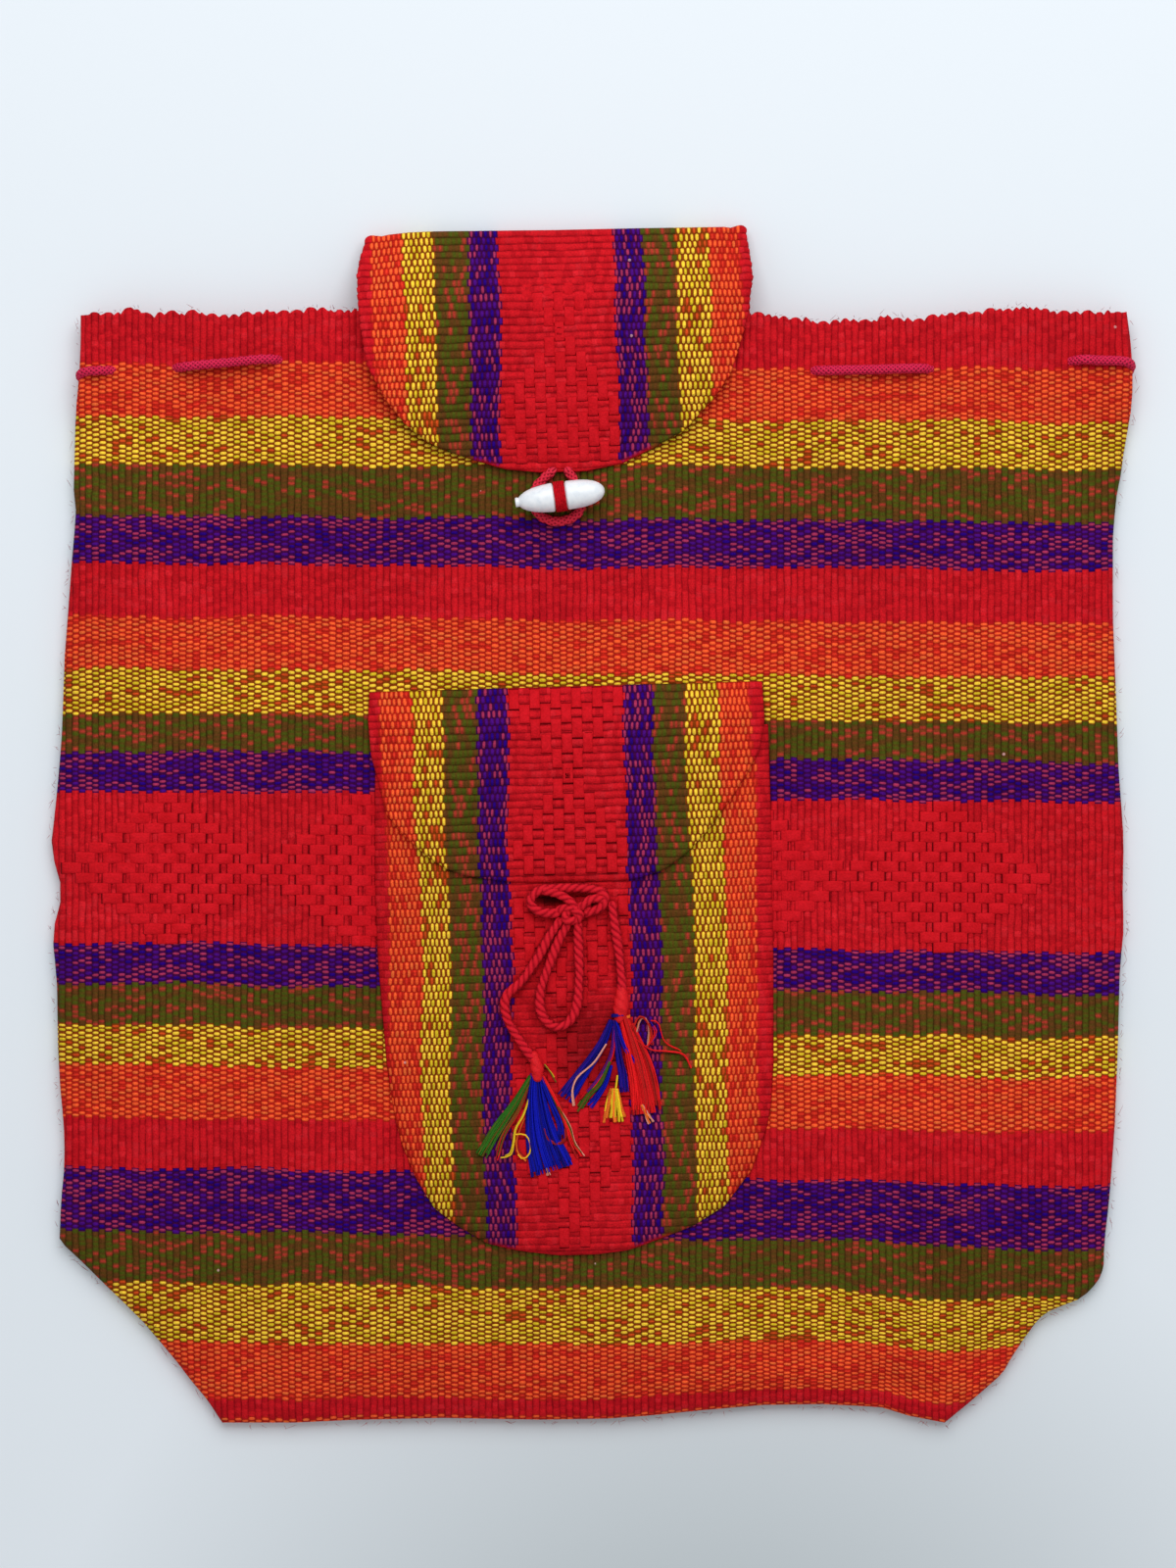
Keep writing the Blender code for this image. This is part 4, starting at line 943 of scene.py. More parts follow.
def rib_relief(rows, start):
    """Depth of the lines between ribs, row by row."""
    share = ((rows - start) / TURNED_RIB) % 1
    away = np.minimum(share, 1 - share)
    return -TURNED_RIB_DEPTH * np.clip(1 - away / RIB_SHOULDER, 0, 1)


def tongue_edge(left, right, start):
    """The tongue's sides and tip as one line."""
    lefts = [(x / 1000, s / 1000) for s, x in left]
    rights = [(x / 1000, s / 1000) for s, x in right]
    return np.array([(lefts[0][0], start), *lefts, *rights[::-1], (rights[0][0], start)])


def tongue_grid(left, right, length, start):
    """A tongue's points: across, along, distance from its edge, and depth of its ribs."""
    rows = tongue_rows(length, start)
    x = cut_rows(TURNED_COLUMNS, table(left, rows), table(right, rows), TURNED_BAND)
    s = np.repeat(rows[:, None], x.shape[1], 1)
    distance = distance_to_line(x, s, tongue_edge(left, right, start))
    distance[:, [0, -1]] = 0.0
    distance[-1] = 0.0
    relief = np.repeat(rib_relief(rows, start)[:, None], x.shape[1], 1)
    relief = relief * np.clip(distance / 0.004, 0.25, 1)
    return x, s, distance, relief


# %% Edges of the tongues
def rolled(distance, roll=0.0):
    """Half thickness of the cloth: round at its edge, which a hem thickens to a roll."""
    thicker = roll * np.exp(-(((distance - 0.0022) / 0.0017) ** 2))
    pressed = 0.7 * roll * np.exp(-(((distance - 0.0056) / 0.0009) ** 2))
    return (CLOTH / 2 + thicker - pressed) * round_edge(distance, 0.0014)


def edge_bulges(x, s, distance):
    """Moves the side edges out at each rib and in between ribs."""
    dice = np.random.default_rng(31)
    sizes = dice.uniform(0.4, 1.0, 2 * FIRST_TURNED_RIB)
    rib = np.floor(s / TURNED_RIB).astype(int) + FIRST_TURNED_RIB
    rib = np.clip(rib, 0, len(sizes) - 1)
    bulge = sizes[rib] * np.abs(np.sin(np.pi * s / TURNED_RIB)) - 0.45
    return x + np.sign(x) * 0.0006 * bulge * np.exp(-distance / 0.003)


def tongue_uv(x, s, lean=0.0):
    across = x + lean * (s - LEAN_FROM) + TURNED_HALF
    return np.stack([s / TURNED_RIB + FIRST_TURNED_RIB, across / DASH], -1)


def hem_share(x, distance):
    """How far a point belongs to the red hem, which shows along the tip's middle."""
    at_edge = np.clip((HEM_WIDTH + 0.0006 - distance) / 0.0012, 0, 1)
    return at_edge * np.clip((HEM_REACH - np.abs(x)) / 0.004, 0, 1)


# %% The main flap
FLAP_LEFT = (
    (-80, -69.0), (-0.9, -68.5), (4.6, -70.4), (11.2, -71.6), (26.6, -71.3), (44.2, -68.9),
    (54.9, -63.6), (65.3, -56.2), (72.2, -48.1), (76.3, -39.4), (79.4, -30.8), (82.6, -20.7),
    (84.2, -8.0),
)
FLAP_RIGHT = (
    (-80, 69.0), (0.3, 68.0), (8.3, 69.0), (16.7, 69.6), (28.2, 67.8), (35.1, 66.0),
    (51.1, 60.5), (60.0, 53.9), (70.8, 43.4), (76.8, 32.0), (81.7, 21.3), (84.2, 8.0),
)
FLAP_RISE = 0.0285  # of the crease above the mouth
FLAP_FOLD = 0.0018  # radius of the crease
FLAP_FOLD_POINTS = 13  # round the crease
FLAP_LENGTH = 0.0842
FLAP_SEAM = 0.0330  # below the mouth, at the back
FLAP_HALF = 0.0695  # half its width
DOME_HEIGHT = 0.0055  # what the cord's knot adds to its height
DOME_UP, DOME_DOWN = 0.0360, 0.0480  # how far the dome reaches from the knot
flap_place = turned_frame(FLAP_MIDDLE, FLAP_RISE, FLAP_TURN)


def flap_profile():
    """The flap's cloth seen from the side: from its seam over the crease to the front."""
    low = BACK_LIFT - GAP - CLOTH / 2
    fold_y, fold_z = -CLOTH / 2 - FLAP_FOLD, low + FLAP_FOLD
    points = [(-FLAP_RISE - FLAP_SEAM, low), (-FLAP_RISE, low)]
    for angle in np.linspace(-math.pi / 2, math.pi / 2, FLAP_FOLD_POINTS):
        points.append((fold_y + FLAP_FOLD * math.cos(angle), fold_z + FLAP_FOLD * math.sin(angle)))
    top, rest = fold_z + FLAP_FOLD, FRONT_TOP + GAP + CLOTH / 2
    for share in np.linspace(0.08, 1, 14):
        y = fold_y + (CLOTH - FLAP_RISE - fold_y) * share
        points.append((y, top + (rest - top) * float(blended(share)) ** 0.8))
    points.append((points[-1][0] - 0.09, rest))
    return np.array(points)


CREASE_RISE = ((-75, 0.6), (-69, 1.2), (-53, 2.6), (-45, 2.7), (0, 1.8), (30, 1.5), (62, 1.0), (75, 0.8))


def crease_rise(x, y):
    """Lifts the crease, which the flap's turn would tilt, back to the bag's own line."""
    return table(CREASE_RISE, x) * blended((y + 0.045) / 0.045)


def flap_dome(x, y):
    """How far the cord and its knot push the flap up."""
    away = y + FLAP_RISE + CORD_DROP
    reach = np.where(away < 0, DOME_UP, DOME_DOWN)
    along = np.clip(1 - (away / reach) ** 2, 0, 1) ** 1.5
    return DOME_HEIGHT * along * (1 - np.where(x < 0, 0.20, 0.75) * (x / FLAP_HALF) ** 2)


# %% The main flap's cloth
def flap_grids():
    line = flap_profile()
    run = run_along(line)
    crease = FLAP_RISE + FLAP_SEAM + math.pi * FLAP_FOLD / 2
    total = crease + FLAP_LENGTH
    start = -FLAP_RISE - FLAP_SEAM
    x, s, distance, relief = tongue_grid(FLAP_LEFT, FLAP_RIGHT, FLAP_LENGTH, start)
    way = np.clip(s + crease, 0, total)
    level = way > run[-2]
    y = np.interp(way, run, line[:, 0])
    z = np.interp(way, run, line[:, 1])
    step = 0.0004
    ty = np.interp(way + step, run, line[:, 0]) - np.interp(way - step, run, line[:, 0])
    tz = np.interp(way + step, run, line[:, 1]) - np.interp(way - step, run, line[:, 1])
    size = np.hypot(ty, tz)
    up = np.stack([np.zeros(x.shape), tz / size, -ty / size], -1)
    z = z + np.where(way > crease, flap_dome(x, y), 0) + 0.25 * fold_height(x * 1.3, s) * level
    middle = np.stack([edge_bulges(x, s, distance), y + crease_rise(x, y), z], -1)
    grids = []
    hemmed = 0.0006 * blended((0.045 - s) / 0.02) * (0.8 + 0.4 * np.sin(s / TURNED_RIB * 3.1) ** 2)
    for side in (1, -1):
        half = rolled(distance, hemmed) + relief * near_edge(distance)
        at = middle + up * (side * half)[..., None]
        at[0] = middle[0]
        px, py = flap_place(at[..., 0], at[..., 1])
        at = np.stack([px, py, at[..., 2]], -1) + BAG
        grids.append({"at": at, "uv": tongue_uv(x + STRIPE_SHIFT, s), "hem": hem_share(x, distance)})
    return grids


flap = build("flap_cloth", flap_grids(), turned_cloth)
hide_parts("main_flap")

# %% The pouch
POUCH_LEFT = (
    (13, -67.7), (32.8, -68.9), (67.8, -69.9), (95.8, -69.6), (132.6, -67.5), (150, -65.4),
    (161, -63.0), (173.8, -58.2), (184.5, -52.0), (191.0, -43.9), (197.6, -33.6),
    (200.6, -22.1), (202.6, -8),
)
POUCH_RIGHT = (
    (13, 71.9), (54.2, 72.0), (99.7, 71.4), (136.5, 70.4), (150, 69.2), (158.5, 67.6),
    (174.0, 61.6), (186.4, 51.8), (193.4, 40.1), (197.6, 28.4), (201.5, 16.7), (202.6, 5),
)
POUCH_MOUTH = 0.0154  # below the pocket flap's seam
POUCH_ROOM = 0.0045  # how far its middle rises above its seam
POUCH_SLOPE = 0.026  # how far in from its seam it reaches its full height
POUCH_ROUND = 0.0032  # how far in from its seam its edge is rounded
POUCH_LEAN = 0.016  # of its stripes, to the side for each unit along
POUCH_LENGTH = 0.2026
POCKET_PLACE = (-0.0100, -0.1333)
POCKET_TURN = 1.6  # degrees
pocket_place = turned_frame(*POCKET_PLACE, POCKET_TURN)
POUCH_EDGE = tongue_edge(POUCH_LEFT, POUCH_RIGHT, POUCH_MOUTH)


def pouch_surface(x, s):
    """Top of the pouch's cloth, in the pocket's coordinates."""
    s = np.maximum(s, POUCH_MOUTH)
    distance = distance_to_line(x, s, POUCH_EDGE)
    inside = (x > table(POUCH_LEFT, s)) & (x < table(POUCH_RIGHT, s)) & (s < POUCH_LENGTH)
    distance = np.where(inside, distance, 0.0)
    bx, by = pocket_place(x, -s)
    base = front_surface(bx, by)
    full = base + GAP + CLOTH + POUCH_ROOM * eased(distance / POUCH_SLOPE)
    full = full + 0.35 * fold_height(x * 1.6 + 0.1, s * 1.2) * np.clip(distance / 0.01, 0, 1)
    return base, base + (full - base) * round_edge(distance, POUCH_ROUND), distance


# middle, half width, half length and darkness of the shade painted on the cloth at the two
# slits for the yarn, and under the bow
TIE_PAINTED_SHADES = (
    (-0.0071, 0.0756, 0.0066, 0.0020, 0.9),
    (0.0068, 0.0786, 0.0028, 0.0024, 0.8),
    (0.0063, 0.1277, 0.0125, 0.0160, 0.48),
)


def painted_tie_shade(x, s):
    """Painted shade: how dark the cloth is painted where the yarn goes through it, and under the bow."""
    share = np.zeros(x.shape)
    for mx, ms, wide, long, dark in TIE_PAINTED_SHADES:
        share = np.maximum(share, dark * np.exp(-(((x - mx) / wide) ** 4) - ((s - ms) / long) ** 4))
    return share


def pouch_grids():
    x, s, distance, relief = tongue_grid(POUCH_LEFT, POUCH_RIGHT, POUCH_LENGTH, POUCH_MOUTH)
    base, top, _ = pouch_surface(x, s)
    top = np.where(distance > 0, top, base)
    px, py = pocket_place(x, -s)
    under = np.maximum(base + 0.00005, top - CLOTH)
    under = np.where(distance > 0, under, top)
    relief = relief * near_edge(distance)
    hem = hem_share(x, distance)
    grids = []
    for z in (top + relief, under):
        z = z.copy()
        z[0] = (top[0] + under[0]) / 2
        at = np.stack([px, py, z], -1) + BAG
        grids.append({"at": at, "uv": tongue_uv(x, s, POUCH_LEAN), "hem": hem})
        # painted shade on the cloth at the yarn's slits and under the bow
        grids[-1]["shade"] = painted_tie_shade(x, s)
    return grids


pouch = build("pouch_cloth", pouch_grids(), turned_cloth)
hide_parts("pocket_pouch")

# %% The pocket's flap
POCKET_FLAP_LEFT = (
    (-2, -69.7), (10.0, -70.7), (22.3, -70.0), (32.8, -67.5), (43.4, -65.0), (50.5, -59.9),
    (56.3, -53.8), (60.7, -48.7), (64.0, -43.5), (66.2, -37.6), (67.5, -31.0), (69.0, -20.5),
    (70.0, -8.0),
)
POCKET_FLAP_RIGHT = (
    (-2, 70.0), (13.9, 70.5), (25.1, 68.2), (31.3, 64.5), (39.2, 59.4), (46.7, 53.6),
    (53.2, 48.5), (59.0, 42.8), (63.1, 37.7), (66.4, 32.4), (69.0, 23.6), (70.0, 12.0),
)
POCKET_FLAP_LENGTH = 0.0700
TIE_PULL = 0.0017  # how far the yarn tie pulls the flap's edge down


def pocket_flap_top(x, s):
    """Middle of the flap's cloth: on the front at its seam, on the pouch lower down."""
    _, pouch_top, _ = pouch_surface(x, s)
    bx, by = pocket_place(x, -s)
    on_front = front_surface(bx, by) + GAP + CLOTH / 2
    share = blended((POUCH_MOUTH - CLOTH - s) / (POUCH_MOUTH - CLOTH))
    on_pouch = pouch_top + GAP + CLOTH / 2
    return on_pouch + (on_front - on_pouch) * share


def pocket_flap_grids():
    sides = POCKET_FLAP_LEFT, POCKET_FLAP_RIGHT
    x, s, distance, relief = tongue_grid(*sides, POCKET_FLAP_LENGTH, 0.0)
    pulled = np.exp(-((x / 0.022) ** 4)) * (1 - blended(distance / 0.007)) * (s > 0.03)
    middle = pocket_flap_top(x, s) - TIE_PULL * pulled
    px, py = pocket_place(x, -s)
    top_edge = round_edge(s, 0.0011)
    grids = []
    for side in (1, -1):
        half = rolled(distance, 0.0002) + relief * near_edge(distance)
        z = middle + side * half * top_edge
        at = np.stack([px, py, z], -1) + BAG
        uv = tongue_uv(x + STRIPE_SHIFT, s + 5 * TURNED_RIB)
        grids.append({"at": at, "uv": uv, "hem": np.zeros(x.shape)})
    return grids


pocket_flap = build("pocket_flap_cloth", pocket_flap_grids(), turned_cloth)
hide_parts("pocket_flap")

# %% [markdown]
# ## Woven diamonds
# In the wide red stripes, red yarns float over three ribs at a time. They stand out as rows
# of small pillows, each row half a step further, inside a chain of diamonds. A pillow of a
# few dozen faces is made at every place in the pattern that falls inside a diamond.


# %% Pillows inside diamonds
def pillow(wide, tall, high):
    """Points of one float, and of the flat underside that closes it."""
    steps = np.sin(np.linspace(-1, 1, 7) * math.pi / 2)
    u, v = np.meshgrid(steps, steps)
    dome = (1 - np.abs(u) ** 8) * (1 - np.abs(v) ** 8)
    return u * wide / 2, v * tall / 2, high * (dome - 0.2), np.full(u.shape, -0.2 * high)


def diamond_places(step_long, step_wide, reach=7):
    """Middles of the floats in one diamond, along and across, that lie within its reach."""
    places = []
    for row in range(-reach, reach + 1):
        for column in range(-reach, reach + 1):
            half_steps = 2 * column + (row + 1) % 2
            if abs(row) + abs(half_steps) <= reach:
                places.append((half_steps * step_long / 2, row * step_wide))
    return places


def float_grids(places, size, place, surface, shadow=None):
    """A pillow at each place, on the surface, in the weave's own directions."""
    wide, tall, high = size
    grids = []
    for x, y in sorted(places):
        more, taller = float_dice.uniform(0.95, 1.07), float_dice.uniform(0.95, 1.05)
        u, v, top, base = pillow(wide * more, tall * taller, high)
        u, v = u + x, v + y
        level = surface(u, v)
        px, py = place(u, v)
        uv = np.stack([(u - x) / wide, (v - y) / tall], -1) + 0.5
        shade = np.zeros(u.shape) if shadow is None else shadow(u, -v)
        for height in (top, base):
            at = np.stack([px, py, level + height], -1) + BAG
            grids.append({"at": at, "uv": uv, "shade": shade})
    return grids


def float_yarn(name, long_side):
    """Red yarn, with shade painted dark at both ends of a float, where it dives into the cloth, and where its
    shade attribute marks it.
    """
    material, tree, shader = new_material(name, gloss=0.06)
    place = own_place(tree)
    fibres = noise(tree, place, 1500.0, 4.0)
    patches = noise(tree, place, 260.0, 2.0)
    paint = mix(tree, fit(tree, patches, 0.35, 0.65), colour(197, 17, 27), colour(211, 23, 34))
    # painted shade: dark at both ends of each float, where it dives into the cloth
    end = calc(tree, "ABSOLUTE", minus(tree, weave_place(tree)[long_side], 0.5))
    paint = mix(tree, fit(tree, end, 0.43, 0.49, 0.0, 0.85), paint, colour(92, 0, 10))
    # painted shade where the shade attribute marks it, under the bow
    painted_shade = attribute(tree, "shade")
    shade = times(tree, fit(tree, fibres, 0.3, 0.7, 0.8, 1.1), minus(tree, 1.0, painted_shade))
    set_paint(tree, shader, paint, shade)
    set_bump(tree, shader, fibres, 0.0004, 0.7)
    return material


diamond_yarn = float_yarn("diamond_yarn", 0)
turned_yarn = float_yarn("diamond_yarn_turned", 1)
float_dice = np.random.default_rng(21)

# %% Diamonds on the body
DIAMOND_CENTRES = (-151.8, -82.7, -13.6, 55.6, 124.7)
DIAMOND_DROP = 0.1980
DIAMOND_STEP = 0.0691 / 7
DIAMOND_ROW = 0.00358
FLOAT_SIZE = (3.15 * DIAMOND_STEP / 4, 1.15 * DIAMOND_ROW, 0.0005)
FLOATS_FROM, FLOATS_TO = -0.1885, 0.1845  # clear of both seams
POCKET_COVER = 0.060  # how far the pocket covers the stripe from its middle


def straight(x, y):
    return x, y


def body_floats():
    places = set()
    for centre in DIAMOND_CENTRES:
        for along, across in diamond_places(DIAMOND_STEP, DIAMOND_ROW):
            x = centre / 1000 + along
            y = across - float(body_drop(np.array(x), np.array(DIAMOND_DROP)))
            under_pocket = abs(x - POCKET_PLACE[0]) < POCKET_COVER
            if not under_pocket and FLOATS_FROM < x < FLOATS_TO:
                places.add((round(x, 4), round(y, 4)))
    return float_grids(places, FLOAT_SIZE, straight, front_surface)


build("diamonds_body", body_floats(), diamond_yarn)

# %% Diamonds on the flap, the pocket's flap and the pouch
TURNED_STEP = 0.0107
TURNED_ROW = 0.0037
TURNED_SIZE = (TURNED_ROW, 0.7 * TURNED_STEP, 0.0007)
RED_HALF = 0.0190  # half width of the red stripe that carries the diamonds


def turned_floats(middles, reach, place, surface, inside, lean=0.0, shadow=None):
    """Floats whose long side runs along the tongue, in diamonds about these middles."""
    lowest, highest = reach
    places = set()
    for middle in middles:
        for along, across in diamond_places(TURNED_STEP, TURNED_ROW):
            s = middle + along
            if lowest < s < highest and inside(across, s):
                places.add((round(across - lean * (s - LEAN_FROM), 4), round(-s, 4)))
    return float_grids(places, TURNED_SIZE, place, surface, shadow)


def flap_top(x, y):
    """Top of the flap's cloth in its own coordinates."""
    line = flap_profile()[FLAP_FOLD_POINTS + 1 :]
    z = np.interp(-y, -line[:, 0], line[:, 1])
    return z + flap_dome(x, y) + CLOTH / 2


def in_stripe(x, _):
    return abs(x) < RED_HALF


def off_the_slits(x, s):
    """The pouch's floats leave out the slits that the yarn goes through."""
    return in_stripe(x, s) and painted_tie_shade(np.array(x), np.array(s)) < 0.45


def pocket_flap_surface(x, y):
    return pocket_flap_top(x, -y) + CLOTH / 2


def pouch_top_surface(x, y):
    return pouch_surface(x, -y)[1]


# for each piece: its diamonds' middles, how far they run, and how they lie on the cloth
TURNED_DIAMONDS = {
    "diamonds_flap": ((-0.0017, 0.0732), (0.008, 0.0800), flap_place, flap_top, in_stripe),
    "diamonds_pocket_flap": (
        (-0.0066, 0.0683), (0.0035, 0.0650), pocket_place, pocket_flap_surface, in_stripe,
    ),
    "diamonds_pouch": (
        (0.0783, 0.1532, 0.2281), (0.074, 0.1985), pocket_place, pouch_top_surface, off_the_slits,
        POUCH_LEAN, painted_tie_shade,
    ),
}
for name, rule in TURNED_DIAMONDS.items():
    build(name, turned_floats(*rule), turned_yarn)

# %% [markdown]
# ## Cords
# A pink braided drawstring runs in and out below the mouth and round both seams, and its
# ends are tied under the flap. A smaller loop of the same cord hangs from the flap's tip and
# holds the toggle. Both are tubes along a smooth line, with the braid in their surface.


# %% The braid
BRAID_DEPTH = 0.12  # of its strands, as a share of the cord's radius


def braid(strands, pitch):
    def relief(around, along):
        one = np.cos(strands * around + FULL_TURN * along / pitch)
        two = np.cos(strands * around - FULL_TURN * along / pitch)
        return 1 + BRAID_DEPTH * np.maximum(one, two) - 0.03

    return relief


def braided_cord(name, base, dark, strands, pitch):
    """Braided yarn: crossing strands, with shade painted as a dark dot in the gap where they meet."""
    material, tree, shader = new_material(name, 0.8, 0.15)
    around, along = weave_place(tree)
    around = times(tree, around, FULL_TURN * strands)
    along = times(tree, along, FULL_TURN / pitch)
    one = calc(tree, "COSINE", plus(tree, around, along))
    two = calc(tree, "COSINE", minus(tree, around, along))
    high = plus(tree, times(tree, one, one), times(tree, two, two))
    place = own_place(tree)
    fibres = noise(tree, place, 2200.0, 3.0)
    # painted shade: dark where the strands sink, between their crossings
    tone = plus(tree, fit(tree, high, 0.2, 0.85), fit(tree, fibres, 0.3, 0.7, -0.2, 0.2))
    set_paint(tree, shader, mix(tree, tone, colour(*dark), colour(*base)))
    height = plus(tree, high, fibres)
    set_bump(tree, shader, height, 0.0003, 0.8)
    return material


drawstring_braid = braided_cord("drawstring_braid", (222, 36, 80), (112, 2, 30), 3, 0.95)
loop_braid = braided_cord("loop_braid", (226, 44, 68), (134, 6, 26), 3, 1.3)

# %% The drawstring
CORD = 0.0036
CORD_GAP = 0.0006
OUTSIDE = FRONT_TOP + CORD_GAP + CORD / 2  # height of its middle on the front
INSIDE = 0.0087  # the same between front and back
BEHIND = CORD / 2  # the same under the back
FRONT_Y = -CORD_DROP
BACK_Y = -CORD_BACK_DROP
LEFT, RIGHT = -0.1890, 0.1890  # the seams, about


def on_front(x, y, height):
    return (x, y, height + CLOTH / 2 + CORD_GAP + CORD / 2)


drawstring_points = (
    (-0.0194, FRONT_Y, OUTSIDE), (LEFT + 0.1390, FRONT_Y, OUTSIDE),
    (LEFT + 0.1040, FRONT_Y + 0.0005, INSIDE), (-0.1080, -0.0172, INSIDE),
    (-0.1164, -0.0168, OUTSIDE), (-0.1300, -0.0180, OUTSIDE), (-0.1442, -0.0193, OUTSIDE),
    (-0.1524, -0.0200, INSIDE), (-0.1690, -0.0203, INSIDE), on_front(-0.1762, -0.0206, 0.0086),
    (-0.18024, -0.0208, 0.01130), (-0.18253, -0.0214, 0.00951), (-0.18340, -0.0222, 0.00670),
    (-0.18253, -0.0233, 0.00389), (-0.18024, -0.0246, 0.00210), (LEFT + 0.0150, BACK_Y, BEHIND),
    (LEFT + 0.0270, BACK_Y, BEHIND), (LEFT + 0.0380, BACK_Y, INSIDE),
    (LEFT + 0.0460, BACK_Y, BEHIND), (LEFT + 0.0730, BACK_Y, BEHIND),
    (LEFT + 0.0870, BACK_Y, INSIDE), (0.0000, BACK_Y, INSIDE), (RIGHT - 0.1210, BACK_Y, INSIDE),
    (RIGHT - 0.1070, BACK_Y, BEHIND), (RIGHT - 0.0730, BACK_Y, BEHIND),
    (RIGHT - 0.0590, BACK_Y, INSIDE), (RIGHT - 0.0520, BACK_Y, INSIDE),
    (RIGHT - 0.0340, BACK_Y, BEHIND), (RIGHT - 0.0150, BACK_Y, BEHIND), (0.18886, -0.0221, 0.00210),
    (0.19115, -0.0206, 0.00389), (0.19202, -0.0190, 0.00670), (0.19115, -0.0178, 0.00951),
    (0.18886, -0.0172, 0.01130), on_front(0.1790, -0.0170, 0.00989),
    on_front(0.1748, -0.0168, 0.0106), (0.1672, -0.0175, INSIDE), (RIGHT - 0.0520, FRONT_Y, INSIDE),
    (0.1240, -0.0200, INSIDE), (0.1153, -0.0201, OUTSIDE), (0.0995, -0.0205, OUTSIDE),
    (0.0828, -0.0208, OUTSIDE), (0.0738, -0.0206, INSIDE), (0.0440, FRONT_Y, INSIDE),
    (0.0260, FRONT_Y, OUTSIDE), (-0.0072, FRONT_Y, OUTSIDE),
)
drawstring_path = smooth_path(np.array(drawstring_points) + BAG, 0.0008)
drawstring_path[:, 2] = np.maximum(drawstring_path[:, 2], BEHIND)
drawstring = build(
    "drawstring_cord",
    [tube(drawstring_path, CORD * 0.46, 16, braid(3, CORD * 0.95))],
    drawstring_braid,
)
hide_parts("drawstring")


# %% Its knot, and the loop for the toggle
def wound_knot(name, middle, size, turns, thickness, material, relief):
    """A few close turns of cord round a middle, as a tied knot shows."""
    steps = np.linspace(0, FULL_TURN * turns, 26 * turns)
    lean = 0.9 * np.sin(steps / turns * 1.5)
    half = np.array(size) / 2 - thickness / 2
    x = half[0] * np.cos(steps) * (0.75 + 0.25 * np.cos(steps / turns))
    y = half[1] * np.sin(steps + lean)
    z = half[2] * np.sin(steps * 1.5 + 0.6)
    line = smooth_path(np.stack([x, y, z], 1) + middle, thickness * 0.3)
    return build(name, [tube(line, thickness / 2, 12, relief)], material)


knot = wound_knot(
    "drawstring_tied_knot",
    np.array((FLAP_MIDDLE, FRONT_Y, FRONT_TOP + GAP + 0.0026)) + BAG,
    (0.0110, 0.0090, 0.0052),
    3,
    0.0026,
    drawstring_braid,
    braid(4, 0.0045),
)
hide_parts("drawstring_knot")

TOGGLE = np.array((-0.01193, -0.06595, 0.02205))  # its middle, from that of the mouth
LOOP_CORD = 0.0031
LOOP_SHAPE = (
    (-0.0026, 0.0094), (-0.0058, 0.0066), (-0.0088, 0.0030), (-0.0093, -0.0018), (-0.0072, -0.0064),
    (-0.0010, -0.0086), (0.0056, -0.0064), (0.0076, -0.0018), (0.0066, 0.0030), (0.0046, 0.0066),
    (0.0028, 0.0094),
)
loop_z = FRONT_TOP + GAP + LOOP_CORD / 2
loop_points = [(TOGGLE[0] + x, TOGGLE[1] + y, loop_z) for x, y in LOOP_SHAPE]
loop_path = smooth_path(np.array(loop_points) + BAG, 0.0005)
loop = build("toggle_loop", [tube(loop_path, LOOP_CORD * 0.54, 24, braid(3, 0.0034))], loop_braid)
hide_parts("flap_loop")

# %% [markdown]
# ## The toggle and its tape
# A white moulded spindle with a small nipple at its left end, blunt at the right. It turns
# on a narrow red tape that is sewn to the bag. The spindle starts as a ring of edges at its
# waist, which is extruded and scaled towards each end, as a turned shape is made by hand.

# %% The spindle
TOGGLE_TURN = math.radians(8)
TOGGLE_HALF = 0.0160  # half its length
TOGGLE_RADIUS = 0.00515
WAIST = 0.0043  # radius under the tape
SHOULDERS = ((0.0021, WAIST), (0.0024, 0.0050), (0.0029, TOGGLE_RADIUS))
NIPPLE_FROM = 0.0148  # where the nipple starts, to the left of the middle


def toggle_steps():
    """Places and radii from the waist to each end."""
    left = [(-place, radius) for place, radius in SHOULDERS]
    for share in (0.3, 0.42, 0.54, 0.65, 0.75, 0.84, 0.91, 0.96, 0.985):
        left.append((-NIPPLE_FROM * share, TOGGLE_RADIUS * math.sqrt(1 - (share * 0.97) ** 2.5)))
    left += [(-NIPPLE_FROM, 0.00152), (-0.0150, 0.00172), (-0.0158, 0.00172), (-TOGGLE_HALF, 0.0015)]
    right = list(SHOULDERS)
    for share in (0.3, 0.42, 0.54, 0.65, 0.75, 0.83, 0.89, 0.94, 0.97, 0.99, 0.998):
        right.append((TOGGLE_HALF * share, TOGGLE_RADIUS * math.sqrt(1 - share**3.4 * 0.995)))
    return left, right


# %% Drawing the spindle out
def select_ring(x):
    """Selects the open ring of edges at that place along the spindle."""
    shape = bmesh.from_edit_mesh(bpy.context.object.data)
    for edge in shape.edges:
        edge.select_set(all(abs(corner.co.x - x) < 1e-5 for corner in edge.verts))
    bmesh.update_edit_mesh(bpy.context.object.data)


def draw_out(steps):
    """Extrudes the selected ring from step to step, and closes its end."""
    x, radius = 0.0, WAIST
    for place, wide in steps:
        bpy.ops.mesh.extrude_region_move(TRANSFORM_OT_translate={"value": (place - x, 0, 0)})
        scale = wide / radius
        bpy.ops.transform.resize(value=(1, scale, scale), center_override=(place, 0, 0))
        x, radius = place, wide
    bpy.ops.mesh.edge_face_add()
    bpy.ops.mesh.poke()


def settle(made, turn, place):
    """Turns and moves a finished mesh to its place and leaves its object at the origin."""
    made.data.transform(Matrix.Translation(place) @ Matrix.Rotation(turn, 4, "Z"))


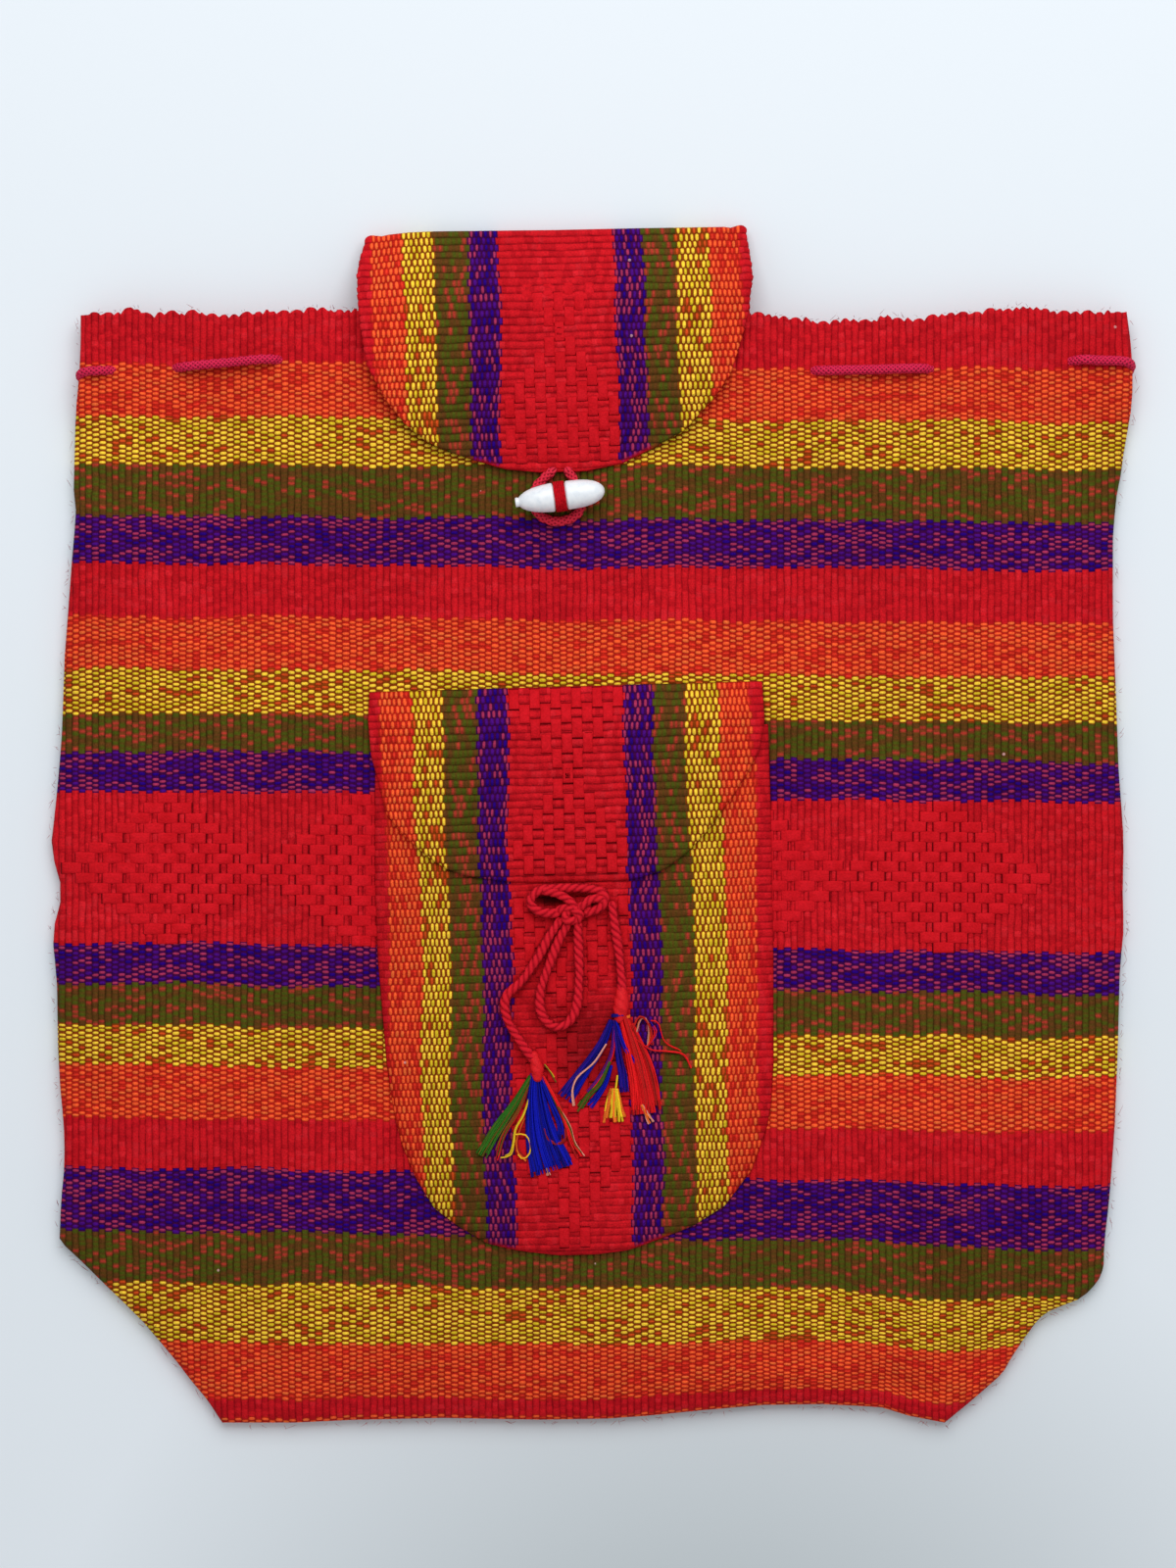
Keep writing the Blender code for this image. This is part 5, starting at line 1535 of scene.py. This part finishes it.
def make_toggle():
    bpy.ops.object.select_all(action="DESELECT")
    bpy.ops.mesh.primitive_circle_add(vertices=48, radius=WAIST, rotation=(0, math.pi / 2, 0))
    made = bpy.context.object
    bpy.ops.object.transform_apply(location=True, rotation=True, scale=True)
    left, right = toggle_steps()
    bpy.ops.object.mode_set(mode="EDIT")
    bpy.ops.mesh.select_mode(type="EDGE")
    select_ring(0.0)
    draw_out(left)
    bpy.ops.mesh.select_all(action="DESELECT")
    select_ring(0.0)
    draw_out(right)
    bpy.ops.mesh.select_all(action="SELECT")
    bpy.ops.mesh.normals_make_consistent(inside=False)
    bpy.ops.object.mode_set(mode="OBJECT")
    made.data.shade_smooth()
    return made


# %% The spindle's plastic
def toggle_plastic():
    """White moulded plastic: faint blotches of a second white, small dents and a soft gloss."""
    material, tree, shader = new_material("toggle_plastic", 0.32)
    place = own_place(tree)
    marks = noise(tree, place, 420.0, 3.0)
    grey = mix(tree, fit(tree, marks, 0.35, 0.65), colour(228, 234, 240), colour(242, 245, 248))
    set_paint(tree, shader, grey)
    put(tree, shader.inputs["Roughness"], fit(tree, marks, 0.3, 0.7, 0.24, 0.4))
    set_bump(tree, shader, marks, 0.0002, 0.35)
    return material


# %% The spindle in its place
toggle = make_toggle()
toggle.name = "toggle_spindle"
toggle.data.materials.append(toggle_plastic())
settle(toggle, TOGGLE_TURN, TOGGLE + BAG)
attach(toggle, "toggle")
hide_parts("toggle")
print(toggle.name, len(toggle.data.polygons), "faces")

# %% [markdown]
# ## Yarn tie and tassels
# Red yarn of three plies is laced through the pocket's flap and the pouch, knotted, and left
# with a bow and two tails. Each tail ends in a tassel of thin coloured threads.


# %% Plied yarn
PLIES = 3
PLY_PITCH = 0.0086  # along the yarn, for one whole turn of its plies


def plied(plies, pitch):
    """A cross-section of round plies that winds along the yarn."""

    def relief(around, along):
        lobe = np.abs(np.cos((around - FULL_TURN * along / pitch) * plies / 2))
        return 0.93 + 0.19 * lobe**0.8

    return relief


def yarn_material(name, light, dark):
    """Wool: fibres along the plies, and shade painted as dark lines in the grooves where two plies meet."""
    material, tree, shader = new_material(name, 0.95, 0.08)
    around, along = weave_place(tree)
    around = times(tree, around, math.pi * PLIES)
    along = times(tree, along, math.pi * PLIES * YARN / PLY_PITCH)
    lobe = calc(tree, "ABSOLUTE", calc(tree, "COSINE", minus(tree, around, along)))
    place = own_place(tree)
    fibres = noise(tree, place, 1500.0, 4.0)
    # painted shade: dark in the grooves between the plies
    tone = plus(tree, fit(tree, lobe, 0.1, 0.9), fit(tree, fibres, 0.3, 0.7, -0.35, 0.35))
    set_paint(tree, shader, mix(tree, tone, colour(*dark), colour(*light)))
    set_bump(tree, shader, plus(tree, lobe, fibres), 0.0004, 0.8)
    return material


# %% Loose fibres of yarn
FIBRE = 0.00008  # radius
FIBRE_SHAPE = np.array((0, 1, 0.9, 0.6, 0))  # share of that radius from root to tip


def fuzz_grids(path, radius, count, reach, dice):
    """Loose fibres that stand off a yarn: thin, bent and closed at both ends."""
    around = np.linspace(0, FULL_TURN, 4)
    around[-1] = 0.0
    grids = []
    for _ in range(count):
        i = int(dice.integers(2, len(path) - 2))
        ahead = path[i + 1] - path[i - 1]
        ahead /= np.linalg.norm(ahead)
        out = np.cross(ahead, (0.0, 0.0, 1.0)) * dice.choice((-1, 1)) + (0, 0, dice.uniform(-0.1, 0.9))
        out /= np.linalg.norm(out)
        away = out * dice.uniform(0.3, 1.0) + ahead * dice.normal(0, 0.8)
        bend = ahead * dice.normal(0, 0.5)
        share = np.linspace(0, 1, len(FIBRE_SHAPE))[:, None]
        line = path[i] + out * radius * 0.8 + reach * (away * share + bend * share**2)
        line[:, 2] = np.maximum(line[:, 2], path[i][2] - radius * 0.8)
        wide = FIBRE * FIBRE_SHAPE
        side = np.cross(away, (0.31, 0.23, 0.92))
        side /= np.linalg.norm(side)
        up = np.cross(side, away / np.linalg.norm(away))
        ring = np.cos(around)[:, None] * side + np.sin(around)[:, None] * up
        at = line[:, None] + ring[None] * wide[:, None, None]
        uv = np.stack(np.broadcast_arrays(around[None] / 6.3, share), -1)
        grids.append({"at": at, "uv": uv})
    return grids


# %% The tie's yarn and its routes
YARN = 0.0030  # diameter
POUCH_TOP = 0.0204  # height of the pouch's cloth under the tie
TIE_Z = POUCH_TOP + GAP + YARN / 2
red_yarn = yarn_material("red_yarn", (216, 29, 44), (168, 11, 28))
TIE_ROUTES = {
    "lacing": (
        (-0.0133, 0.0806), (-0.0190, 0.0800), (-0.0224, 0.0768), (-0.0198, 0.0728),
        (-0.0120, 0.0718), (-0.0020, 0.0718), (0.0034, 0.0736), (0.0030, 0.0778),
        (-0.0026, 0.0806),
    ),
    "bow": (
        (-0.0094, 0.0848), (-0.0125, 0.0905), (-0.0158, 0.0990), (-0.0187, 0.1075),
        (-0.0187, 0.1155), (-0.0148, 0.1204), (-0.0097, 0.1198), (-0.0064, 0.1150),
        (-0.0053, 0.1080), (-0.0051, 0.1000), (-0.0054, 0.0910), (-0.0056, 0.0848),
    ),
    "tail_left": (
        (-0.0122, 0.0834), (-0.0158, 0.0890), (-0.0205, 0.0975), (-0.0260, 0.1050),
        (-0.0311, 0.1105), (-0.0308, 0.1175), (-0.0264, 0.1255), (-0.0213, 0.1325),
    ),
    "tail_right": (
        (0.0066, 0.0776), (0.0073, 0.0835), (0.0083, 0.0895), (0.0092, 0.0965),
        (0.0098, 0.1020), (0.0100, 0.1075),
    ),
}
yarn_dice = np.random.default_rng(17)


def tie_path(name):
    points = [(x, POCKET_PLACE[1] - y, TIE_Z) for x, y in TIE_ROUTES[name]]
    return smooth_path(np.array(points) + BAG, 0.0005)


def make_yarn(name):
    path = tie_path(name)
    thickness = 1 + 0.07 * np.sin(np.linspace(0, 0.9 * len(path) / 6, len(path)) + len(path))
    grids = [tube(path, YARN / 2, 18, plied(PLIES, PLY_PITCH), thickness)]
    grids += fuzz_grids(path, YARN / 2, 4 * len(path), 0.0016, yarn_dice)
    made = build("yarn_" + name, grids, red_yarn)
    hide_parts("tie_" + name)
    print(name, round(line_length(path), 3), "m")
    return made, path


lacing, lacing_path = make_yarn("lacing")
bow, bow_path = make_yarn("bow")
tail_left, tail_left_path = make_yarn("tail_left")
tail_right, tail_right_path = make_yarn("tail_right")

# %% Loose fibres on the rim and the seams
def rim_line():
    x = np.linspace(-0.180, 0.188, 400)
    y = table(MOUTH_EDGE, x) + mouth_knobs(x) - body_drop(x, 0 * x) - 0.0003
    return np.stack([x, y, front_surface(x, y - 0.001) - CLOTH / 2], 1)


def seam_line():
    low, _ = seam_lift(BODY_EDGE[:, 1])
    return np.column_stack([BODY_EDGE, low + SEAM_HEIGHT / 2])


fibre_grids = []
for line, count, reach in ((rim_line(), 300, 0.0017), (seam_line(), 620, 0.0021)):
    line = evenly(line, 0.0008) + BAG
    fibre_grids += fuzz_grids(line, CLOTH / 2, count, reach, yarn_dice)
loose_fibres = build("loose_fibres", fibre_grids, red_yarn)

# %% The knot of the tie
# four strands of yarn that cross over each other, as points from the knot's middle
KNOT_STRANDS = (
    ((-0.0052, 0.0008, 0.0002), (-0.0026, 0.0020, 0.0012), (0.0008, 0.0014, 0.0020),
     (0.0026, -0.0006, 0.0016), (0.0014, -0.0030, 0.0004)),
    ((0.0054, 0.0020, 0.0002), (0.0024, 0.0022, 0.0004), (-0.0012, 0.0006, 0.0010),
     (-0.0026, -0.0016, 0.0018), (-0.0004, -0.0026, 0.0018), (0.0022, -0.0014, 0.0004)),
    ((-0.0097, 0.0080, 0.0008), (-0.0055, 0.0070, 0.0016), (-0.0014, 0.0048, 0.0020),
     (0.0010, 0.0020, 0.0020), (0.0016, -0.0010, 0.0010)),
    ((0.0010, 0.0002, 0.0010), (0.0036, 0.0030, 0.0016), (0.0072, 0.0052, 0.0016),
     (0.0106, 0.0050, 0.0006)),
)
KNOT_YARN = 0.0014  # radius of its yarn, pulled tight
KNOT_MIDDLE = np.array((-0.0075, POCKET_PLACE[1] - 0.0806, POUCH_TOP + GAP + KNOT_YARN)) + BAG


def knot_grids():
    grids = []
    for strand in KNOT_STRANDS:
        line = smooth_path(np.array(strand) + KNOT_MIDDLE, 0.0004)
        grids.append(tube(line, KNOT_YARN, 16, plied(PLIES, PLY_PITCH)))
        grids += fuzz_grids(line, KNOT_YARN, 40, 0.0014, yarn_dice)
    return grids


tie_knot = build("yarn_tie_knot", knot_grids(), red_yarn)
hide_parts("tie_knot")

# %% [markdown]
# ## Tassels
# The yarn's ends are frayed: bunches of fine, silky threads in several colours, a few of
# them curled. They could be hair curves, but the export needs meshes, so each thread is a
# thin tube. All threads of a bunch follow one line and spread apart towards their tips.

# %% Bunches of thread
THREADS = {
    "green": (44, 104, 22),
    "olive": (104, 84, 22),
    "blue": (8, 18, 168),
    "navy": (14, 8, 116),
    "violet": (48, 14, 140),
    "yellow": (236, 196, 34),
    "orange": (238, 112, 34),
    "red": (232, 22, 26),
    "maroon": (168, 26, 22),
    "pink": (228, 150, 130),
}
PIXEL = 0.00035  # what a pixel of the photograph shows
MIDDLE_PIXEL = (605.75, 843.77)  # where the photograph shows the bag's middle
MM = 0.001
# for each bunch: threads, their colours, their radius in millimetres, the bunch's width at
# its head and at its tips in pixels of the photograph, its height in millimetres, and the
# pixels that its middle follows, as measured
LEFT_BUNCHES = (
    (40, ("green", "green", "olive"), 0.24, 4, 13, 1.3,
     ((542, 1097), (526, 1124), (508, 1150), (492, 1177))),
    (9, ("maroon", "red", "olive"), 0.22, 3, 9, 0.9, ((541, 1102), (529, 1132), (514, 1156), (506, 1181))),
    (3, ("yellow",), 0.28, 1, 2, 1.6,
     ((540, 1120), (534, 1137), (526, 1151), (524, 1165), (521, 1176), (512, 1179))),
    (2, ("yellow", "orange"), 0.26, 1, 1, 1.4,
     ((527, 1156), (536, 1156), (541, 1164), (540, 1175), (533, 1180), (527, 1172))),
    (4, ("orange", "maroon"), 0.24, 1, 4, 1.0, ((536, 1140), (529, 1160), (530, 1172), (538, 1181))),
    (110, ("blue", "blue", "blue", "navy"), 0.27, 10, 44, 2.2,
     ((547, 1094), (548, 1122), (553, 1156), (564, 1192))),
    (16, ("blue", "navy"), 0.24, 4, 8, 2.2, ((552, 1098), (563, 1124), (572, 1146), (573, 1160))),
    (5, ("green", "olive"), 0.22, 2, 2, 1.4, ((554, 1098), (566, 1122), (573, 1138), (573, 1150))),
    (8, ("maroon", "red", "maroon"), 0.24, 3, 7, 1.5,
     ((554, 1096), (570, 1126), (578, 1146), (584, 1164), (592, 1178))),
    (3, ("olive", "pink"), 0.26, 2, 4, 1.6, ((570, 1128), (581, 1148), (586, 1164), (595, 1178))),
    (4, ("maroon",), 0.30, 2, 2, 2.6, ((556, 1150), (559, 1159), (567, 1165), (576, 1161), (578, 1146))),
    (2, ("yellow", "olive"), 0.24, 1, 2, 1.8, ((556, 1085), (562, 1093), (568, 1102))),
    (4, ("pink",), 0.24, 2, 6, 1.0, ((557, 1186), (558, 1192), (559, 1197))),
)
RIGHT_BUNCHES = (
    (44, ("violet", "navy", "blue"), 0.26, 5, 16, 1.6,
     ((624, 1040), (613, 1066), (594, 1094), (577, 1119))),
    (2, ("pink",), 0.32, 1, 2, 2.6, ((618, 1064), (606, 1082), (589, 1097), (584, 1110), (585, 1126))),
    (14, ("maroon", "red", "violet"), 0.24, 3, 8, 1.4,
     ((626, 1046), (624, 1074), (612, 1098), (594, 1120))),
    (12, ("green", "olive"), 0.24, 2, 6, 1.4, ((622, 1082), (612, 1104), (600, 1116), (590, 1132))),
    (12, ("blue", "navy"), 0.24, 2, 8, 1.2, ((624, 1086), (618, 1104), (608, 1120), (602, 1127))),
    (26, ("violet", "blue", "navy"), 0.24, 4, 8, 1.8, ((627, 1040), (631, 1072), (635, 1094), (637, 1112))),
    (22, ("violet", "blue"), 0.24, 4, 3, 2.0, ((628, 1042), (638, 1068), (649, 1084), (656, 1098))),
    (3, ("yellow", "olive"), 0.26, 1, 2, 1.6, ((630, 1096), (628, 1110), (624, 1122), (628, 1134))),
    (20, ("yellow", "orange", "yellow", "orange"), 0.50, 8, 26, 1.4,
     ((627, 1110), (627, 1126), (628, 1142))),
    (80, ("red", "red", "red", "maroon"), 0.27, 10, 26, 2.0,
     ((636, 1036), (645, 1068), (653, 1102), (657, 1134))),
    (14, ("red", "maroon"), 0.24, 5, 8, 1.4, ((644, 1044), (657, 1072), (666, 1098), (671, 1130))),
    (3, ("red",), 0.22, 1, 3, 1.2, ((650, 1060), (664, 1070), (682, 1072), (697, 1075), (704, 1088))),
    (2, ("red",), 0.22, 1, 2, 1.2, ((664, 1040), (671, 1042), (678, 1062), (694, 1071))),
    (2, ("pink", "orange"), 0.28, 1, 1, 2.4, ((649, 1052), (656, 1037), (662, 1049), (660, 1067))),
    (4, ("red", "maroon"), 0.26, 2, 3, 2.0, ((645, 1048), (653, 1035), (663, 1045), (666, 1064))),
    (3, ("red", "violet"), 0.24, 2, 4, 1.2, ((660, 1066), (669, 1053), (664, 1042))),
    (7, ("pink", "orange"), 0.36, 2, 7, 1.2, ((655, 1126), (660, 1135), (664, 1143))),
)


# %% From pixels to threads
def from_pixel(px, py):
    """A place of the 1200 by 1600 photograph on the bag, in world coordinates."""
    return np.array(((px - MIDDLE_PIXEL[0]) * PIXEL + BAG[0], (MIDDLE_PIXEL[1] - py) * PIXEL, 0.0))


def pouch_height(x, y):
    """Top of the pouch below a place in world coordinates."""
    turn = math.radians(POCKET_TURN)
    dx, dy = x - BAG[0] - POCKET_PLACE[0], y - BAG[1] - POCKET_PLACE[1]
    across = dx * math.cos(turn) + dy * math.sin(turn)
    return pouch_surface(across, dx * math.sin(turn) - dy * math.cos(turn))[1]


def tinted(grid, paint, shade):
    tint = np.array((*(linear(c) * shade for c in paint), 1.0))
    grid["tint"] = np.broadcast_to(tint, (*grid["at"].shape[:2], 4))
    return grid


def bunch_grids(bunch, dice):
    """The threads of one bunch, side by side along its line."""
    count, paints, radius, head_width, tip_width, high, pixels = bunch
    line = smooth_path([from_pixel(*pixel) for pixel in pixels], 0.0017)
    ahead = np.gradient(line, axis=0)
    side = np.stack([ahead[:, 1], -ahead[:, 0], 0 * ahead[:, 0]], 1)
    side /= np.linalg.norm(side, axis=1)[:, None]
    share = np.linspace(0, 1, len(line))
    half = np.interp(share, (0, 1), (head_width, tip_width)) * (PIXEL / 2)
    radius = radius * MM
    seat = pouch_height(line[:, 0], line[:, 1])
    grids = []
    for k in range(count):
        offset = dice.uniform(-1, 1)
        wave = 0.00022 * np.sin(share * dice.uniform(4, 11) + dice.uniform(0, 6.3))
        thread_line = line + side * (half * offset + wave * share)[:, None]
        pile = dice.uniform(0.05, 1) * high * MM * math.sqrt(1 - offset**2)
        thread_line[:, 2] = seat + radius + GAP + pile * (1 - 0.55 * share)
        end = len(line) - int(dice.integers(0, max(len(line) // 9, 1) + 1))
        grid = tube(thread_line[: max(end, 3)], radius, 5)
        grids.append(tinted(grid, THREADS[paints[k % len(paints)]], dice.uniform(0.7, 1.25)))
    return grids


def thread_material():
    """Silky thread in its own tint, with fine fibres."""
    material, tree, shader = new_material("tassel_thread", 0.55, 0.12)
    tint = attribute(tree, "tint", "Color")
    place = own_place(tree)
    fibres = noise(tree, place, 2500.0, 3.0)
    shade = fit(tree, fibres, 0.3, 0.7, 0.7, 1.15)
    set_paint(tree, shader, tint, shade)
    set_bump(tree, shader, fibres, 0.0002, 0.6)
    return material


# %% Heads of the tassels
def head_grids(pixels, widths, dice):
    """The yarn's swollen, fuzzy end, from which the threads come."""
    line = smooth_path([from_pixel(*pixel) for pixel in pixels], 0.0004)
    line[:, 2] = TIE_Z
    share = np.linspace(0, 1, len(line))
    thick = np.interp(share, np.linspace(0, 1, len(widths)), widths)
    grids = [tinted(tube(line, YARN / 2, 18, plied(PLIES, 0.011), thick), (222, 26, 34), 1.0)]
    for hair in fuzz_grids(line, YARN / 2 * 1.1, 90, 0.0016, dice):
        grids.append(tinted(hair, (222, 28, 34), dice.uniform(0.7, 1.2)))
    return grids


def wrap_grids(pixel, radius, turns, paint):
    """A few turns of thread round the head, which bind it."""
    angle = np.linspace(0, FULL_TURN * turns, 20 * turns)
    middle = from_pixel(*pixel) + (0, 0, TIE_Z)
    x = radius * np.cos(angle)
    z = np.maximum(radius * 0.8 * np.sin(angle), -YARN / 2)
    line = middle + np.stack([x, 0.0003 * (angle / 6.28 - turns / 2) + 0.15 * x, z], 1)
    return [tinted(tube(line, 0.0003, 6), paint, 1.0)]


def make_tassel(name, bunches, extra, node, dice):
    grids = list(extra)
    for bunch in bunches:
        grids += bunch_grids(bunch, dice)
    made = build(name, grids, thread)
    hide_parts(node)
    return made


thread = thread_material()
thread_dice = np.random.default_rng(5)
left_head = head_grids(((545, 1075), (548, 1086), (549, 1098)), (1.05, 1.3, 1.45, 1.0), thread_dice)
right_head = head_grids(((634, 1008), (634, 1022), (632, 1038)), (1.05, 1.6, 1.75, 1.1), thread_dice)
right_head += wrap_grids((631, 1034), 0.0024, 3, THREADS["navy"])
right_head += wrap_grids((640, 1036), 0.0008, 2, THREADS["orange"])
tassel_left = make_tassel("threads_left", LEFT_BUNCHES, left_head, "tassel_left", thread_dice)
tassel_right = make_tassel("threads_right", RIGHT_BUNCHES, right_head, "tassel_right", thread_dice)

# %% [markdown]
# ## Shoulder straps and the toggle's tape
# The straps lie behind the bag, where the photograph doesn't show them, so they are plain
# woven webbing. A strap is a flat band that follows a line, with rounded edges. The red tape
# under the toggle is the same band, narrower, led up round the spindle's waist and back.


# %% Flat bands
def band(path, across, width, thickness, rib, dash):
    """A closed flat band: its path, and the direction of its width at every point."""
    path, across = np.array(path, float), np.array(across, float)
    ahead = np.gradient(path, axis=0)
    ahead /= np.linalg.norm(ahead, axis=1)[:, None]
    normal = np.cross(across, ahead)
    angle = np.linspace(0, FULL_TURN, 33)
    angle[-1] = 0.0
    wide = np.sign(np.cos(angle)) * np.abs(np.cos(angle)) ** 0.75 * width / 2
    high = np.sign(np.sin(angle)) * np.abs(np.sin(angle)) ** 0.35 * thickness / 2
    run = run_along(path)
    ends = round_edge(np.minimum(run, run[-1] - run), thickness / 2)[:, None, None]
    ring = wide[None, :, None] * across[:, None] + high[None, :, None] * normal[:, None] * ends
    ring[[0, -1]] = wide[None, :, None] * across[[0, -1], None]
    at = path[:, None] + ring
    uv = np.stack(np.broadcast_arrays(wide[None] / rib + 50, run[:, None] / dash + 50), -1)
    return {"at": at, "uv": uv}


# %% The straps
STRAP_WIDTH = 0.0420
STRAP_THICKNESS = 0.0036
STRAP_SPREAD = 0.0520  # between the middles of their upper ends
STRAP_FOOT = (0.1340, 0.3120)  # lower end: from the bag's middle, and below the mouth
STRAP_BOW = 0.0160  # how far a strap bows outwards
STRAP_RIB = 0.0021
strap_webbing = striped_cloth("strap_webbing", (("strap", 1.0),), 1.0)


def strap_grids(side):
    share = np.concatenate([(0, 0.001, 0.003, 0.006), np.linspace(0.01, 0.99, 120), (0.994, 0.997, 0.999, 1)])
    top = -FLAP_SEAM - GAP - STRAP_THICKNESS
    start = np.array((side * STRAP_SPREAD / 2, top))
    foot = np.array((side * STRAP_FOOT[0], -STRAP_FOOT[1]))
    x = start[0] + (foot[0] - start[0]) * share + side * STRAP_BOW * np.sin(math.pi * share)
    y = start[1] + (foot[1] - start[1]) * share
    path = np.stack([x, y, np.full(len(x), STRAP_THICKNESS / 2)], 1) + BAG
    across = np.tile((1.0, 0.0, 0.0), (len(path), 1))
    grid = band(path, across, STRAP_WIDTH, STRAP_THICKNESS * 0.98, STRAP_RIB, DASH)
    return [grid], line_length(path)


for side, name in ((-1, "left"), (1, "right")):
    grids, strap_length = strap_grids(side)
    strap = build("strap_band_" + name, grids, strap_webbing)
    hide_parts("strap_" + name)
print("straps", round(strap_length, 3), "m long")

# %% The tape under the toggle
TAPE_WIDTH = 0.0040
TAPE_THICKNESS = 0.0009
TAPE_ARC = WAIST + GAP + TAPE_THICKNESS / 2


def tape_path():
    """Up from the cloth, round the waist, and down again, in the spindle's cross-section."""
    foot = FRONT_TOP + GAP - TOGGLE[2]
    points = [(0, -0.0005, foot), (0, -0.0005, foot + 0.0012), (0, -0.0007, foot + 0.0024)]
    for angle in np.linspace(-115, -425, 26):
        a = math.radians(angle)
        points.append((0, TAPE_ARC * math.cos(a), TAPE_ARC * math.sin(a)))
    points += [(0, 0.0007, foot + 0.0024), (0, 0.0005, foot + 0.0012), (0, 0.0005, foot)]
    return smooth_path(points, 0.0004)


tape_line = tape_path()
tape_across = np.tile((1.0, 0.0, 0.0), (len(tape_line), 1))
tape_grid = band(tape_line, tape_across, TAPE_WIDTH, TAPE_THICKNESS, 0.0007, 0.0007)
turned = np.array(Matrix.Rotation(TOGGLE_TURN, 3, "Z"))
tape_grid["at"] = tape_grid["at"] @ turned.T + TOGGLE + BAG
tape_cloth = striped_cloth("tape_weave", (("tape", 1.0),), 1.0)
tape = build("toggle_band", [tape_grid], tape_cloth, "toggle")
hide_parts("toggle_tape")
